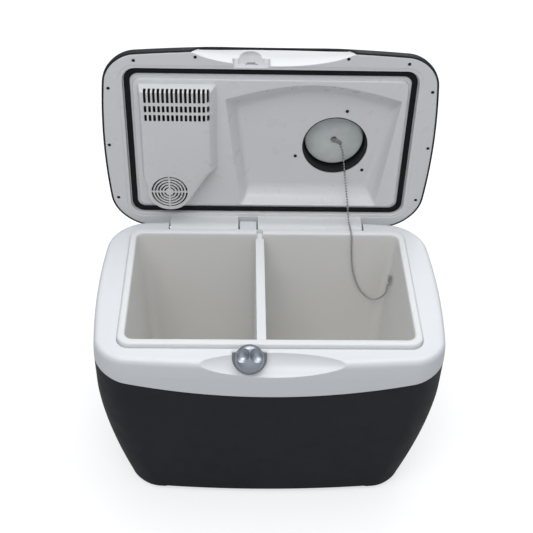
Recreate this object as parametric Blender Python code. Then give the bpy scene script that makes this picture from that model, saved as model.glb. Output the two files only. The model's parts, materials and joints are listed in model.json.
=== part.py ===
"""Portable thermoelectric cooler: a moulded tub with two compartments, and a lid that holds the cooling unit.

Metres, +Z up, -Y is the front. It is modelled with the centre of the tub's rim above the origin, and then
moved so that the origin lies on the floor below the middle of the open cooler.
The lid is modelled closed, then its hinge empty is turned so that the cooler stands open.
"""

import math

import bmesh
import bpy
from mathutils import Matrix, Vector

# Driving dimensions of the tub
RIM_Z = 0.361
TOP_Z = RIM_Z - 0.008
HALF_X = 0.289
HALF_Y = 0.177
BOW = 0.013
FRONT_CORNER = 0.050
REAR_CORNER = 0.062
TAPER_FROM_Z = 0.250
TAPER_POWER = 1.6
SIDE_TAPER = 0.046
END_TAPER = 0.009
WALL = 0.003
UNDERSIDE_Z = 0.012
SKID_HALF_GAP = 0.188
SEAM_MID_Z = RIM_Z - 0.084
SEAM_RISE = 0.034
SEAM_HALF_X = 0.300

# Compartment
MOUTH_X = 0.241
MOUTH_Y = 0.1355
FLOOR_Z = 0.045
LIP_X = 0.254
LIP_Y = 0.1495
DIVIDER_X = -0.015
DIVIDER_TOP_Z = RIM_Z - 0.0057

# Lid and its hinge
HINGE_Y = 0.1757
HINGE_Z = RIM_Z - 0.025
OPEN_ANGLE = math.radians(92)
BARREL_RADIUS = 0.0165
ROD_RADIUS = 0.003
KNUCKLES = ((-0.182, -0.055), (-0.018, 0.178))
FLANGE_Z = RIM_Z - 0.005
LID_HALF_X = 0.2845
SHELL_INSET = 0.003
DOME_SKIN = 0.003
# Share of the lid's outline, and height above its flange, from the middle of the crown outwards
DOME = ((0.08, 0.0715), (0.27, 0.0680), (0.50, 0.0605), (0.70, 0.0520), (0.84, 0.0425), (0.93, 0.0325))

# Latch: its axis leans back by LATCH_LEAN from the horizontal
LATCH = Vector((-0.035, -0.1736, RIM_Z - 0.0062))
LATCH_LEAN = math.radians(28)
PLATE_RADIUS = 0.0285
PLATE_TOP = 0.0095
KNOB_RADIUS = 0.0240
CAM_RADIUS = 0.0225
HOOD_RADIUS = 0.0278
# The lid's room for the knob: from and to along the latch's axis, with shares of its full radius
LATCH_POCKET = ((-0.0095, 0.0086, 1.0, 1.0), (0.0085, 0.0131, 1.0, 0.80), (0.0130, 0.0155, 0.80, 0.47))

# Bottle hatch in the lid
HATCH = Vector((0.121, 0.015, 0.0))
HATCH_RADIUS = 0.0575
POCKET_Z = RIM_Z + 0.022

# Cooling unit in the lid
FAN_HUB = Vector((-0.181, 0.084, 0.0))
COVER_Z = RIM_Z - 0.032
SINK = Vector((-0.165, -0.030, 0.0))
HOT_FAN = SINK
ROCKER = Vector((-0.2525, -0.0130, 0.3965))
ROCKER_TILT = math.radians(8)

GAP = 0.0003
# How far behind the middle of the tub's rim the middle of the open cooler lies
MIDDLE_Y = 0.0402


def material(name, colour, roughness, metallic=0.0):
    made = bpy.data.materials.new(name)
    made.use_nodes = True
    shader = made.node_tree.nodes["Principled BSDF"]
    shader.inputs["Base Color"].default_value = (*colour, 1.0)
    shader.inputs["Roughness"].default_value = roughness
    shader.inputs["Metallic"].default_value = metallic
    return made


def add(name, bm, finish=None, helper=False):
    """One object from a bmesh, with its normals facing out."""
    bmesh.ops.recalc_face_normals(bm, faces=bm.faces)
    mesh = bpy.data.meshes.new(name)
    bm.to_mesh(mesh)
    bm.free()
    obj = bpy.data.objects.new(name, mesh)
    bpy.context.scene.collection.objects.link(obj)
    if helper:
        obj.hide_render = True
        obj.display_type = "WIRE"
    else:
        mesh.materials.append(finish)
        mesh.shade_smooth()
        mesh.set_sharp_from_angle(angle=math.radians(35))
    return obj


def loft(name, rings, finish=None, closed=False, helper=False):
    """A skin through rings of equal length. A closed one returns to its first ring, an open one is capped."""
    bm = bmesh.new()
    rows = [[bm.verts.new(point) for point in ring] for ring in rings]
    pairs = list(zip(rows, rows[1:]))
    if closed:
        pairs.append((rows[-1], rows[0]))
    for low, high in pairs:
        for i, corner in enumerate(low):
            j = (i + 1) % len(low)
            bm.faces.new((corner, low[j], high[j], high[i]))
    if not closed:
        bm.faces.new(rows[0])
        bm.faces.new(rows[-1])
    return add(name, bm, finish, helper)


def box(name, low, high, finish=None, helper=False, turn=None):
    """A box between two corners, moved by the matrix turn if there is one."""
    bm = bmesh.new()
    middle = (Vector(low) + Vector(high)) / 2
    size = Vector(high) - Vector(low)
    bmesh.ops.create_cube(bm, size=1.0, matrix=Matrix.Translation(middle) @ Matrix.Diagonal((*size, 1.0)))
    if turn:
        bm.transform(turn)
    return add(name, bm, finish, helper)


def rod(name, start, end, radius, sides, finish=None, helper=False, end_radius=None, turn=None):
    """A cylinder or cone from start to end."""
    bm = bmesh.new()
    start, end = Vector(start), Vector(end)
    along = end - start
    place = Matrix.Translation((start + end) / 2) @ along.to_track_quat("Z", "Y").to_matrix().to_4x4()
    far = radius if end_radius is None else end_radius
    bmesh.ops.create_cone(
        bm, cap_ends=True, segments=sides, radius1=radius, radius2=far, depth=along.length, matrix=place
    )
    if turn:
        bm.transform(turn)
    return add(name, bm, finish, helper)


def prism(name, outline, low, high, finish=None, helper=False, turn=None):
    """An outline of (x, y) points extruded along Z."""
    bm = bmesh.new()
    face = bm.faces.new([bm.verts.new((x, y, low)) for x, y in outline])
    raised = bmesh.ops.extrude_face_region(bm, geom=[face])["geom"]
    moved = [item for item in raised if isinstance(item, bmesh.types.BMVert)]
    bmesh.ops.translate(bm, verts=moved, vec=(0, 0, high - low))
    if turn:
        bm.transform(turn)
    return add(name, bm, finish, helper)


def ellipsoid(name, centre, radii, steps=24):
    bm = bmesh.new()
    place = Matrix.Translation(centre) @ Matrix.Diagonal((*radii, 1.0)) @ Matrix.Rotation(
        math.pi / 2, 4, "Y"
    )
    bmesh.ops.create_uvsphere(bm, u_segments=steps, v_segments=steps // 2, radius=1.0, matrix=place)
    return add(name, bm, helper=True)


def combine(target, helper, operation):
    modifier = target.modifiers.new(helper.name, "BOOLEAN")
    modifier.operation = operation
    modifier.solver = "EXACT"
    modifier.object = helper


def cut(target, *helpers):
    for helper in helpers:
        combine(target, helper, "DIFFERENCE")


def join(target, *helpers):
    for helper in helpers:
        combine(target, helper, "UNION")


def bent(half_x, half_y, front, rear, bow=BOW, arc=4, long=4, short=4):
    """(x, y) points of a rounded rectangle whose sides bow outwards, anticlockwise from the front right."""
    corners = (
        (half_x, -half_y, front, -90),
        (half_x, half_y, rear, 0),
        (-half_x, half_y, rear, 90),
        (-half_x, -half_y, front, 180),
    )
    plain = []
    for n, (x, y, radius, start) in enumerate(corners):
        centre_x = x - math.copysign(radius, x)
        centre_y = y - math.copysign(radius, y)
        for i in range(arc + 1):
            angle = math.radians(start + 90 * i / arc)
            plain.append((centre_x + radius * math.cos(angle), centre_y + radius * math.sin(angle)))
        nx, ny, next_radius, _ = corners[(n + 1) % 4]
        steps = short if n % 2 == 0 else long
        if n % 2 == 0:
            after = (nx, ny - math.copysign(next_radius, ny))
        else:
            after = (nx - math.copysign(next_radius, nx), ny)
        for i in range(1, steps):
            share = i / steps
            last = plain[-i]
            plain.append((last[0] + (after[0] - last[0]) * share, last[1] + (after[1] - last[1]) * share))
    return [
        (
            x + bow * x / half_x * (1 - (y / half_y) ** 2),
            y + bow * y / half_y * (1 - (x / half_x) ** 2),
        )
        for x, y in plain
    ]


def level(outline, z):
    return [(x, y, z) for x, y in outline]


def seam(outline, drop=0.0):
    """The line where the collar meets the tub: lowest in the middle of the front and back."""
    return [(x, y, SEAM_MID_Z + SEAM_RISE * (x / SEAM_HALF_X) ** 2 - drop) for x, y in outline]


def tub_outline(z, inset=0.0):
    """The tub's outside at height z, which tapers towards the floor."""
    fall = max(0.0, (TAPER_FROM_Z - z) / TAPER_FROM_Z) ** TAPER_POWER
    half_x = HALF_X - SIDE_TAPER * fall - inset
    half_y = HALF_Y - END_TAPER * fall - inset
    return bent(half_x, half_y, FRONT_CORNER - inset, REAR_CORNER - inset)


def collar_outline(inset):
    return bent(HALF_X - inset, HALF_Y - inset, FRONT_CORNER - inset, REAR_CORNER - inset)


def lid_outline(inset):
    return bent(LID_HALF_X - inset, HALF_Y - inset, FRONT_CORNER - inset, REAR_CORNER - inset)


def square(half_x, half_y, corner):
    """A rounded rectangle with straight sides and as many points as the other outlines."""
    return bent(half_x, half_y, corner, corner, bow=0.0)


def few(half_x, half_y, corner, bow=0.0):
    """A rounded rectangle with few points, for pieces that aren't seen."""
    return bent(half_x, half_y, corner, corner, bow=bow, arc=3, long=2, short=2)


def latch_frame():
    """X along the front, Y up the plate, Z out along the latch's axis."""
    return Matrix.Translation(LATCH) @ Matrix.Rotation(math.pi / 2 - LATCH_LEAN, 4, "X")


def sector(inner, outer, start, end, steps):
    """(x, y) points of part of a ring, with angles in degrees from +X."""
    angles = [math.radians(start + (end - start) * i / steps) for i in range(steps + 1)]
    out = [(outer * math.cos(a), outer * math.sin(a)) for a in angles]
    back = [(inner * math.cos(a), inner * math.sin(a)) for a in reversed(angles)]
    return out + back


def plate_outline(radius, top, steps=14):
    """A D on its back: a half circle below, straight sides and a flat top."""
    arc = [math.radians(180 + 180 * i / steps) for i in range(steps + 1)]
    return [(radius * math.cos(a), radius * math.sin(a)) for a in arc] + [(radius, top), (-radius, top)]


for old in list(bpy.data.objects):
    bpy.data.objects.remove(old)

CHARCOAL = material("charcoal_plastic", (0.022, 0.024, 0.029), 0.42)
WHITE = material("white_plastic", (0.80, 0.80, 0.80), 0.30)
LINER = material("liner_plastic", (0.62, 0.61, 0.58), 0.35)
PANEL = material("panel_plastic", (0.70, 0.70, 0.71), 0.30)
FOAM = material("foam", (0.75, 0.68, 0.45), 0.9)
RUBBER = material("black_rubber", (0.010, 0.011, 0.014), 0.6)
DARK = material("dark_plastic", (0.015, 0.016, 0.020), 0.45)
CHROME = material("chrome", (0.72, 0.76, 0.80), 0.12, 1.0)
STEEL = material("steel", (0.55, 0.55, 0.55), 0.3, 1.0)
ALUMINIUM = material("aluminium", (0.78, 0.79, 0.80), 0.35, 1.0)
CERAMIC = material("ceramic", (0.85, 0.85, 0.82), 0.5)
BOARD = material("circuit_board", (0.02, 0.16, 0.06), 0.5)
PLUG = material("plug_plastic", (0.66, 0.69, 0.69), 0.45)


# Tub


def make_outer_shell():
    """Outside from the floor up to the seam, over its rim, and down the inside."""
    heights = (0.014, 0.040, 0.085, 0.140, 0.200, 0.262)
    rings = [level(tub_outline(0.014, 0.013), 0.002), level(tub_outline(0.014, 0.005), 0.005)]
    rings += [level(tub_outline(z), z) for z in heights]
    rings += [seam(tub_outline(TAPER_FROM_Z), GAP), seam(tub_outline(TAPER_FROM_Z, WALL), GAP)]
    rings += [level(tub_outline(z, WALL), z) for z in heights[:0:-1]]
    rings.append(level(tub_outline(0.032, WALL + 0.004), UNDERSIDE_Z + 0.0035))
    shell = loft("outer_shell", rings, CHARCOAL)
    arch = box(
        "cut_shell_arch", (-SKID_HALF_GAP, -0.3, -0.02), (SKID_HALF_GAP, 0.3, UNDERSIDE_Z), helper=True
    )
    cut(shell, arch)
    for x in (-0.215, 0.215):
        for y in (-0.135, 0.135):
            side = ("left" if x < 0 else "right") + ("_front" if y < 0 else "_rear")
            well = rod("cut_well_" + side, (x, y, -0.01), (x, y, 0.0066), 0.0113, 12, helper=True)
            cut(shell, well)
            rod("foot_pad_" + side, (x, y, 0.0), (x, y, 0.0063), 0.0110, 12, RUBBER)


def scoop():
    return ellipsoid("cut_scoop", (0.003, -0.200, RIM_Z + 0.004), (0.142, 0.042, 0.041))


def make_collar():
    frame = loft(
        "collar_frame",
        [
            seam(collar_outline(0.0), -GAP),
            level(collar_outline(0.0), 0.320),
            level(collar_outline(0.0015), 0.341),
            level(collar_outline(0.0035), 0.3480),
            level(collar_outline(0.0070), 0.3517),
            level(collar_outline(0.0120), TOP_Z),
            level(square(LIP_X + 0.0006, LIP_Y + 0.0006, 0.022), TOP_Z),
            level(square(LIP_X + 0.0006, LIP_Y + 0.0006, 0.022), TOP_Z - 0.0042),
            level(collar_outline(0.0120), TOP_Z - 0.0038),
            level(collar_outline(0.0065), 0.345),
            level(collar_outline(0.0035), 0.320),
            seam(collar_outline(WALL), -GAP),
        ],
        WHITE,
        closed=True,
    )
    solid = [level(collar_outline(0.0015), 0.300), level(collar_outline(0.0025), 0.341)]
    solid += [level(collar_outline(0.0080), TOP_Z - 0.002)]
    bulge = ellipsoid("fill_scoop", (0.003, -0.200, RIM_Z + 0.004), (0.146, 0.0455, 0.0445))
    combine(bulge, loft("trim_scoop_fill", solid, helper=True), "INTERSECT")

    low, high = KNUCKLES[0][0] - 0.003, KNUCKLES[1][1] + 0.003
    wall = WALL
    notch_low, notch_front = HINGE_Z - 0.020, HINGE_Y - 0.0190
    trough = box(
        "fill_hinge",
        (low - 0.012, notch_front - wall, notch_low - wall),
        (high + 0.012, 0.30, TOP_Z - 0.001),
        helper=True,
    )
    combine(trough, loft("trim_hinge_fill", solid, helper=True), "INTERSECT")
    turn = latch_frame()
    boss_outline = plate_outline(PLATE_RADIUS, PLATE_TOP, 12)
    boss = prism("fill_latch", boss_outline, -0.0135, -0.0025, helper=True, turn=turn)
    join(frame, bulge, trough)
    cut(frame, scoop())
    join(frame, boss)
    for n, (start, end) in enumerate(KNUCKLES):
        low_corner = (start - 0.003, notch_front, notch_low)
        cut(frame, box(f"cut_knuckle_{n}", low_corner, (end + 0.003, 0.30, RIM_Z + 0.01), helper=True))
    middle = (KNUCKLES[0][1] + 0.003 - 0.001, KNUCKLES[1][0] - 0.003 + 0.001)
    rear = box(
        "cut_lug_back", (middle[0], HINGE_Y + BARREL_RADIUS, notch_low), (middle[1], 0.30, RIM_Z), helper=True
    )
    cut(frame, rear)
    bore_start, bore_end = (low - 0.0095, HINGE_Y, HINGE_Z), (high + 0.0095, HINGE_Y, HINGE_Z)
    bore = rod("cut_rod_bore", bore_start, bore_end, 0.0035, 12, helper=True)
    cut(frame, bore)
    seat = plate_outline(PLATE_RADIUS + 0.0004, 0.040, 16)
    cut(
        frame,
        prism("cut_plate_seat", seat, -0.0033, 0.040, helper=True, turn=turn),
        rod("cut_cam_room", (0, 0, -0.0084), (0, 0, 0.001), 0.0240, 24, helper=True, turn=turn),
        rod("cut_spindle", (0, 0, -0.030), (0, 0, 0.001), 0.0062, 12, helper=True, turn=turn),
    )
    rod(
        "hinge_rod",
        (low - 0.009, HINGE_Y, HINGE_Z),
        (high + 0.009, HINGE_Y, HINGE_Z),
        ROD_RADIUS,
        12,
        STEEL,
    )


def make_liner():
    def mouth(inset, z):
        return level(square(MOUTH_X - inset, MOUTH_Y - inset * 0.85, 0.014), z)

    liner = loft(
        "inner_liner",
        [
            mouth(0.031, FLOOR_Z),
            mouth(0.023, FLOOR_Z + 0.0025),
            mouth(0.020, FLOOR_Z + 0.010),
            mouth(0.0010, 0.348),
            mouth(0.0002, 0.357),
            level(square(MOUTH_X + 0.0018, MOUTH_Y + 0.0018, 0.0150), RIM_Z - 0.0006),
            level(square(MOUTH_X + 0.0040, MOUTH_Y + 0.0040, 0.0160), RIM_Z),
            level(square(LIP_X - 0.0040, LIP_Y - 0.0040, 0.0190), RIM_Z),
            level(square(LIP_X - 0.0008, LIP_Y - 0.0008, 0.0215), RIM_Z - 0.0022),
            level(square(LIP_X, LIP_Y, 0.022), RIM_Z - 0.0055),
            level(square(LIP_X, LIP_Y, 0.022), 0.3482),
            level(square(LIP_X + 0.0040, LIP_Y + 0.0040, 0.024), 0.3482),
            level(square(LIP_X + 0.0040, LIP_Y + 0.0040, 0.024), 0.3458),
            level(square(MOUTH_X + 0.0030, MOUTH_Y + 0.0030, 0.0165), 0.3458),
            mouth(0.0165, FLOOR_Z + 0.008),
            mouth(0.021, FLOOR_Z - 0.0025),
            mouth(0.031, FLOOR_Z - 0.0030),
        ],
        LINER,
    )
    tab_notch = box(
        "cut_tab_notch",
        (DIVIDER_X - 0.0060, MOUTH_Y - 0.005, DIVIDER_TOP_Z - 0.0026),
        (DIVIDER_X + 0.0060, LIP_Y - 0.004, RIM_Z + 0.01),
        helper=True,
    )
    for n, (x, side) in enumerate(((-0.0052, -1), (0.0052, -1), (-0.0052, 1), (0.0052, 1))):
        centre = DIVIDER_X + x
        near, far = MOUTH_Y - 0.0035, MOUTH_Y + 0.0015
        foot_near, foot_far = near - 0.016, far - 0.016
        bm = bmesh.new()
        points = []
        for y, z in (
            (near, 0.340), (far, 0.340), (foot_far, FLOOR_Z + 0.012), (foot_near, FLOOR_Z + 0.012)
        ):
            points.append((side * y, z))
        sides = [[bm.verts.new((centre + dx, y, z)) for y, z in points] for dx in (-0.001, 0.001)]
        bm.faces.new(sides[0])
        bm.faces.new(sides[1])
        for i in range(4):
            j = (i + 1) % 4
            bm.faces.new((sides[0][i], sides[0][j], sides[1][j], sides[1][i]))
        join(liner, add(f"fill_guide_{n}", bm, helper=True))
    cut(liner, tab_notch)


def make_body_insulation():
    rings = []
    for z, inset in (
        (UNDERSIDE_Z + 0.0042, 0.012), (0.040, 0.0045), (0.100, 0.0045), (0.180, 0.0045), (0.270, 0.0045)
    ):
        fall = max(0.0, (TAPER_FROM_Z - z) / TAPER_FROM_Z) ** TAPER_POWER
        rings.append(
            level(
                few(
                    HALF_X - SIDE_TAPER * fall - inset,
                    HALF_Y - END_TAPER * fall - inset,
                    0.055,
                    bow=BOW - 0.003,
                ),
                z,
            )
        )
    rings.append(level(few(HALF_X - 0.012, HALF_Y - 0.028, 0.050), 0.300))
    rings.append(level(few(LIP_X + 0.008, LIP_Y - 0.001, 0.030), 0.340))
    rings.append(level(few(MOUTH_X + 0.0045, MOUTH_Y + 0.0045, 0.016), 0.340))
    rings.append(level(few(MOUTH_X - 0.0145, MOUTH_Y - 0.0120, 0.016), FLOOR_Z + 0.008))
    rings.append(level(few(MOUTH_X - 0.0190, MOUTH_Y - 0.0160, 0.016), FLOOR_Z - 0.0040))
    loft("body_insulation", rings, FOAM)


def make_divider():
    x = DIVIDER_X
    bar = box(
        "divider",
        (x - 0.008, -MOUTH_Y + 0.0012, 0.3450),
        (x + 0.008, MOUTH_Y - 0.0070, DIVIDER_TOP_Z),
        WHITE,
    )
    tab_low = (x - 0.0045, MOUTH_Y - 0.010, DIVIDER_TOP_Z - 0.0022)
    tab = box("fill_tab", tab_low, (x + 0.0045, LIP_Y - 0.0055, DIVIDER_TOP_Z - 0.0002), helper=True)
    top, foot = MOUTH_Y - 0.0030, MOUTH_Y - 0.0215
    outline = ((-foot, FLOOR_Z + 0.006), (foot, FLOOR_Z + 0.006), (top, 0.347), (-top, 0.347))
    to_side = Matrix.Translation((x, 0, 0)) @ Matrix(
        ((0, 0, 1, 0), (1, 0, 0, 0), (0, 1, 0, 0), (0, 0, 0, 1))
    )
    leaf = prism("fill_leaf", outline, -0.003, 0.003, helper=True, turn=to_side)
    join(bar, tab, leaf)
    rows = 9
    for row in range(rows):
        z = 0.085 + row * 0.027
        for side in (-1, 1):
            near, far = sorted((side * 0.010, side * 0.098))
            slot = box(
                f"cut_louvre_{row}_{side + 1}", (x - 0.02, near, z), (x + 0.02, far, z + 0.006), helper=True
            )
            cut(bar, slot)


def make_latch():
    turn = latch_frame()
    plate = prism("latch_plate", plate_outline(PLATE_RADIUS, PLATE_TOP, 16), -0.0030, 0.0, STEEL, turn=turn)
    cut(plate, rod("cut_plate_bore", (0, 0, -0.01), (0, 0, 0.01), 0.0046, 12, helper=True, turn=turn))
    pivot = bpy.data.objects.new("latch_axis", None)
    bpy.context.scene.collection.objects.link(pivot)
    pivot.matrix_world = turn
    knob = rod("latch_knob", (0, 0, 0.0004), (0, 0, 0.0070), KNOB_RADIUS, 24, CHROME)
    below_top, above_top = (0, 0, 0.0065), (0, 0, 0.0100)
    top = rod("fill_knob_top", below_top, above_top, KNOB_RADIUS - 0.0005, 24, helper=True, end_radius=0.0185)
    ridge = box("fill_knob_ridge", (-0.0030, -0.0185, 0.0060), (0.0030, 0.0185, 0.0125), helper=True)
    spindle = rod("fill_spindle", (0, 0, -0.0090), (0, 0, 0.0020), 0.0040, 12, helper=True)
    join(knob, top, ridge, spindle)
    cut(knob, rod("cut_spindle_thread", (0, 0, -0.0100), (0, 0, -0.0020), 0.0017, 8, helper=True))
    cam = prism("latch_cam", sector(0.0172, CAM_RADIUS, -62, 34, 9), -0.0072, -0.0048, STEEL)
    hub = rod("fill_cam_hub", (0, 0, -0.0072), (0, 0, -0.0048), 0.0075, 14, helper=True)
    arm = prism("fill_cam_arm", sector(0.0055, 0.0195, -66, -44, 3), -0.0072, -0.0048, helper=True)
    join(cam, hub, arm)
    cut(cam, rod("cut_cam_bore", (0, 0, -0.02), (0, 0, 0.01), 0.0043, 12, helper=True))
    screw = rod("cam_screw", (0, 0, -0.0115), (0, 0, -0.0094), 0.0052, 12, STEEL)
    join(screw, rod("fill_cam_screw", (0, 0, -0.0100), (0, 0, -0.0040), 0.0014, 8, helper=True))
    for obj in (knob, cam, screw):
        ride(obj, pivot)
    for obj in (top, ridge, spindle, hub, arm):
        ride(obj, pivot)
    for name in ("cut_spindle_thread", "cut_cam_bore", "fill_cam_screw"):
        ride(bpy.data.objects[name], pivot)


def ride(obj, pivot):
    obj.parent = pivot


# Lid, modelled closed


def dome_outline(share, inset=0.0, make=bent):
    """A ring of the lid's crown: its corners get rounder towards the middle."""
    widest = 0.85 * HALF_Y
    front = share * (FRONT_CORNER + (widest - FRONT_CORNER) * (1 - share))
    rear = share * (REAR_CORNER + (widest - REAR_CORNER) * (1 - share))
    return make(LID_HALF_X * share - inset, HALF_Y * share - inset, front, rear, bow=BOW * share)


def dome_rings(drop):
    """Rings of the lid's crown from its middle outwards; drop is how far the skin lies below the outside."""
    return [level(dome_outline(share), FLANGE_Z + rise - drop) for share, rise in DOME]


def lid_scoop(name, spread):
    return ellipsoid(name, (0.003, -0.203, RIM_Z - 0.011), (0.156 + spread, 0.044 + spread, 0.040 + spread))


def lid_room(name, inset):
    """The space inside the lid's outer cover, which trims what is moulded onto the panel."""
    edge = lid_outline(SHELL_INSET + inset)
    rings = [level(edge, FLANGE_Z + inset), level(edge, FLANGE_Z + 0.0105)]
    for further, rise in ((0.0055, 0.0200), (0.0105, 0.0288), (0.0270, 0.0385)):
        rings.append(level(lid_outline(SHELL_INSET + inset + further), FLANGE_Z + rise - inset))
    return loft(name, rings, helper=True)


def pocket_outline(left_front, right_front, left_rear, right_rear, front, sag, rear, spread, steps=10):
    """(x, y) points: a straight rear, sides that close in towards it, and a front that bows by sag."""
    left_front, right_front, front = left_front - spread, right_front + spread, front - spread
    points = [(left_rear - spread, rear + spread), (right_rear + spread, rear + spread)]
    for i in range(steps + 1):
        share = i / steps
        x = right_front + (left_front - right_front) * share
        points.append((x, front - sag * math.sin(math.pi * share)))
    return points


def pocket(spread, top, name):
    """The recess around the hatch, whose walls lean in towards its floor."""
    mouth = pocket_outline(-0.079, 0.230, -0.051, 0.202, -0.093, 0.030, 0.129, spread)
    halfway = pocket_outline(-0.066, 0.227, -0.043, 0.195, -0.078, 0.031, 0.121, spread)
    floor = pocket_outline(-0.058, 0.220, -0.036, 0.183, -0.066, 0.032, 0.103, spread)
    start = 0.0005 if spread else -0.004
    rings = [level(mouth, FLANGE_Z + start), level(mouth, FLANGE_Z + 0.001)]
    rings += [level(halfway, FLANGE_Z + 0.0165), level(floor, top)]
    return loft(name, rings, helper=True)


def make_lid_panel():
    panel = loft(
        "lid_panel",
        [
            level(square(0.2370, 0.1310, 0.014), FLANGE_Z),
            level(square(0.2390, 0.1330, 0.015), FLANGE_Z + 0.0015),
            level(square(0.2400, 0.1340, 0.016), FLANGE_Z + 0.0085),
            level(square(0.2556, 0.1511, 0.023), FLANGE_Z + 0.0085),
            level(square(0.2570, 0.1525, 0.024), FLANGE_Z),
            level(lid_outline(SHELL_INSET + 0.0014), FLANGE_Z),
            level(lid_outline(SHELL_INSET), FLANGE_Z + 0.0014),
            level(lid_outline(SHELL_INSET), FLANGE_Z + 0.0100),
            level(lid_outline(SHELL_INSET + 0.0025), FLANGE_Z + 0.0100),
            level(lid_outline(SHELL_INSET + 0.0030), FLANGE_Z + 0.0030),
            level(square(0.2600, 0.1555, 0.025), FLANGE_Z + 0.0030),
            level(square(0.2585, 0.1540, 0.024), FLANGE_Z + 0.0113),
            level(square(0.2370, 0.1310, 0.014), FLANGE_Z + 0.0113),
            level(square(0.2360, 0.1300, 0.014), FLANGE_Z + 0.0030),
        ],
        PANEL,
    )
    front_fill = lid_scoop("fill_lid_scoop", 0.003)
    turn = latch_frame()
    hood = rod("fill_latch_hood", (0, 0, -0.0118), (0, 0, 0.0200), HOOD_RADIUS, 24, helper=True, turn=turn)
    join(front_fill, hood)
    combine(front_fill, lid_room("trim_scoop_room", 0.0010), "INTERSECT")
    join(panel, pocket(0.003, POCKET_Z + 0.003, "fill_recess"), front_fill)
    for n, (start, end) in enumerate(KNUCKLES):
        barrel_start, barrel_end = (start, HINGE_Y, HINGE_Z), (end, HINGE_Y, HINGE_Z)
        barrel = rod(f"fill_barrel_{n}", barrel_start, barrel_end, BARREL_RADIUS, 20, helper=True)
        low = (start, HINGE_Y - BARREL_RADIUS, HINGE_Z)
        neck = box(f"fill_neck_{n}", low, (end, HINGE_Y + 0.0050, FLANGE_Z + 0.002), helper=True)
        join(panel, barrel, neck)
    ends = KNUCKLES[0][0] - 0.01, KNUCKLES[1][1] + 0.01
    cut(
        panel,
        rod(
            "cut_lid_bore",
            (ends[0], HINGE_Y, HINGE_Z),
            (ends[1], HINGE_Y, HINGE_Z),
            0.0034,
            12,
            helper=True,
        ),
    )
    cut(
        panel,
        lid_scoop("cut_lid_scoop", 0.0),
        pocket(0.0, POCKET_Z, "cut_recess"),
        rod("cut_hatch", (HATCH.x, HATCH.y, 0.36), (HATCH.x, HATCH.y, 0.40), 0.0600, 24, helper=True),
        box(
            "cut_sink",
            (SINK.x - 0.0465, SINK.y - 0.0415, 0.35),
            (SINK.x + 0.0465, SINK.y + 0.0415, 0.37),
            helper=True,
        ),
    )
    arch = rod(
        "fill_latch_arch", (0, 0, -0.0120), (0, 0, 0.0010), HOOD_RADIUS + 0.0002, 24, helper=True, turn=turn
    )
    feet = box(
        "fill_latch_feet", (-0.0325, -0.020, -0.0175), (0.0325, 0.0140, 0.0008), helper=True, turn=turn
    )
    join(arch, feet)
    combine(arch, lid_room("trim_arch_room", 0.0014), "INTERSECT")
    join(panel, arch)
    room = box(
        "cut_plate_room", (-0.0298, -0.030, -0.0145), (0.0298, 0.0112, 0.006), helper=True, turn=turn
    )
    cut(panel, room)
    wide = HOOD_RADIUS - 0.0023
    for n, (low, high, near, far) in enumerate(LATCH_POCKET):
        name = f"cut_latch_pocket_{n}"
        start, end = (0, 0, low), (0, 0, high)
        cut(panel, rod(name, start, end, wide * near, 24, helper=True, end_radius=wide * far, turn=turn))
    return panel


def lid_screw_places():
    """The lid's screws follow its edge: two at each end of the front, and three down each side."""
    places = []
    for side in (-1, 1):
        places += [(side * 0.130, -0.1745), (side * 0.2345, -0.1667), (side * 0.2810, -0.1130)]
        places += [(side * 0.2875, 0.0020), (side * 0.2790, 0.1170)]
    return places


def make_screws(panel):
    for n, (x, y) in enumerate(lid_screw_places()):
        hole = rod(
            f"cut_lid_screw_{n}",
            (x, y, FLANGE_Z - 0.002),
            (x, y, FLANGE_Z + 0.0016),
            0.0030,
            10,
            helper=True,
        )
        shaft = rod(
            f"cut_lid_shaft_{n}", (x, y, FLANGE_Z), (x, y, FLANGE_Z + 0.006), 0.0016, 8, helper=True
        )
        cut(panel, hole, shaft)
        head = rod(
            f"lid_screw_{n + 1}", (x, y, FLANGE_Z + 0.0002), (x, y, FLANGE_Z + 0.0013), 0.0027, 10, STEEL
        )
        join(
            head,
            rod(
                f"fill_screw_{n}",
                (x, y, FLANGE_Z + 0.001),
                (x, y, FLANGE_Z + 0.0075),
                0.0013,
                8,
                helper=True,
            ),
        )
    for n, degrees in enumerate((-76.5, 162.5, 44.0)):
        angle = math.radians(degrees)
        x, y = HATCH.x + 0.0752 * math.cos(angle), HATCH.y + 0.0752 * math.sin(angle)
        shaft = rod(
            f"cut_hatch_shaft_{n}",
            (x, y, POCKET_Z - 0.001),
            (x, y, POCKET_Z + 0.006),
            0.0016,
            8,
            helper=True,
        )
        cut(panel, shaft)
        head = rod(
            f"hatch_screw_{n + 1}", (x, y, POCKET_Z - 0.0016), (x, y, POCKET_Z - 0.0003), 0.0030, 10, STEEL
        )
        join(
            head, rod(
                f"fill_hatch_{n}",
                (x, y, POCKET_Z - 0.001),
                (x, y, POCKET_Z + 0.0030),
                0.0013,
                8,
                helper=True,
            )
        )


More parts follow.
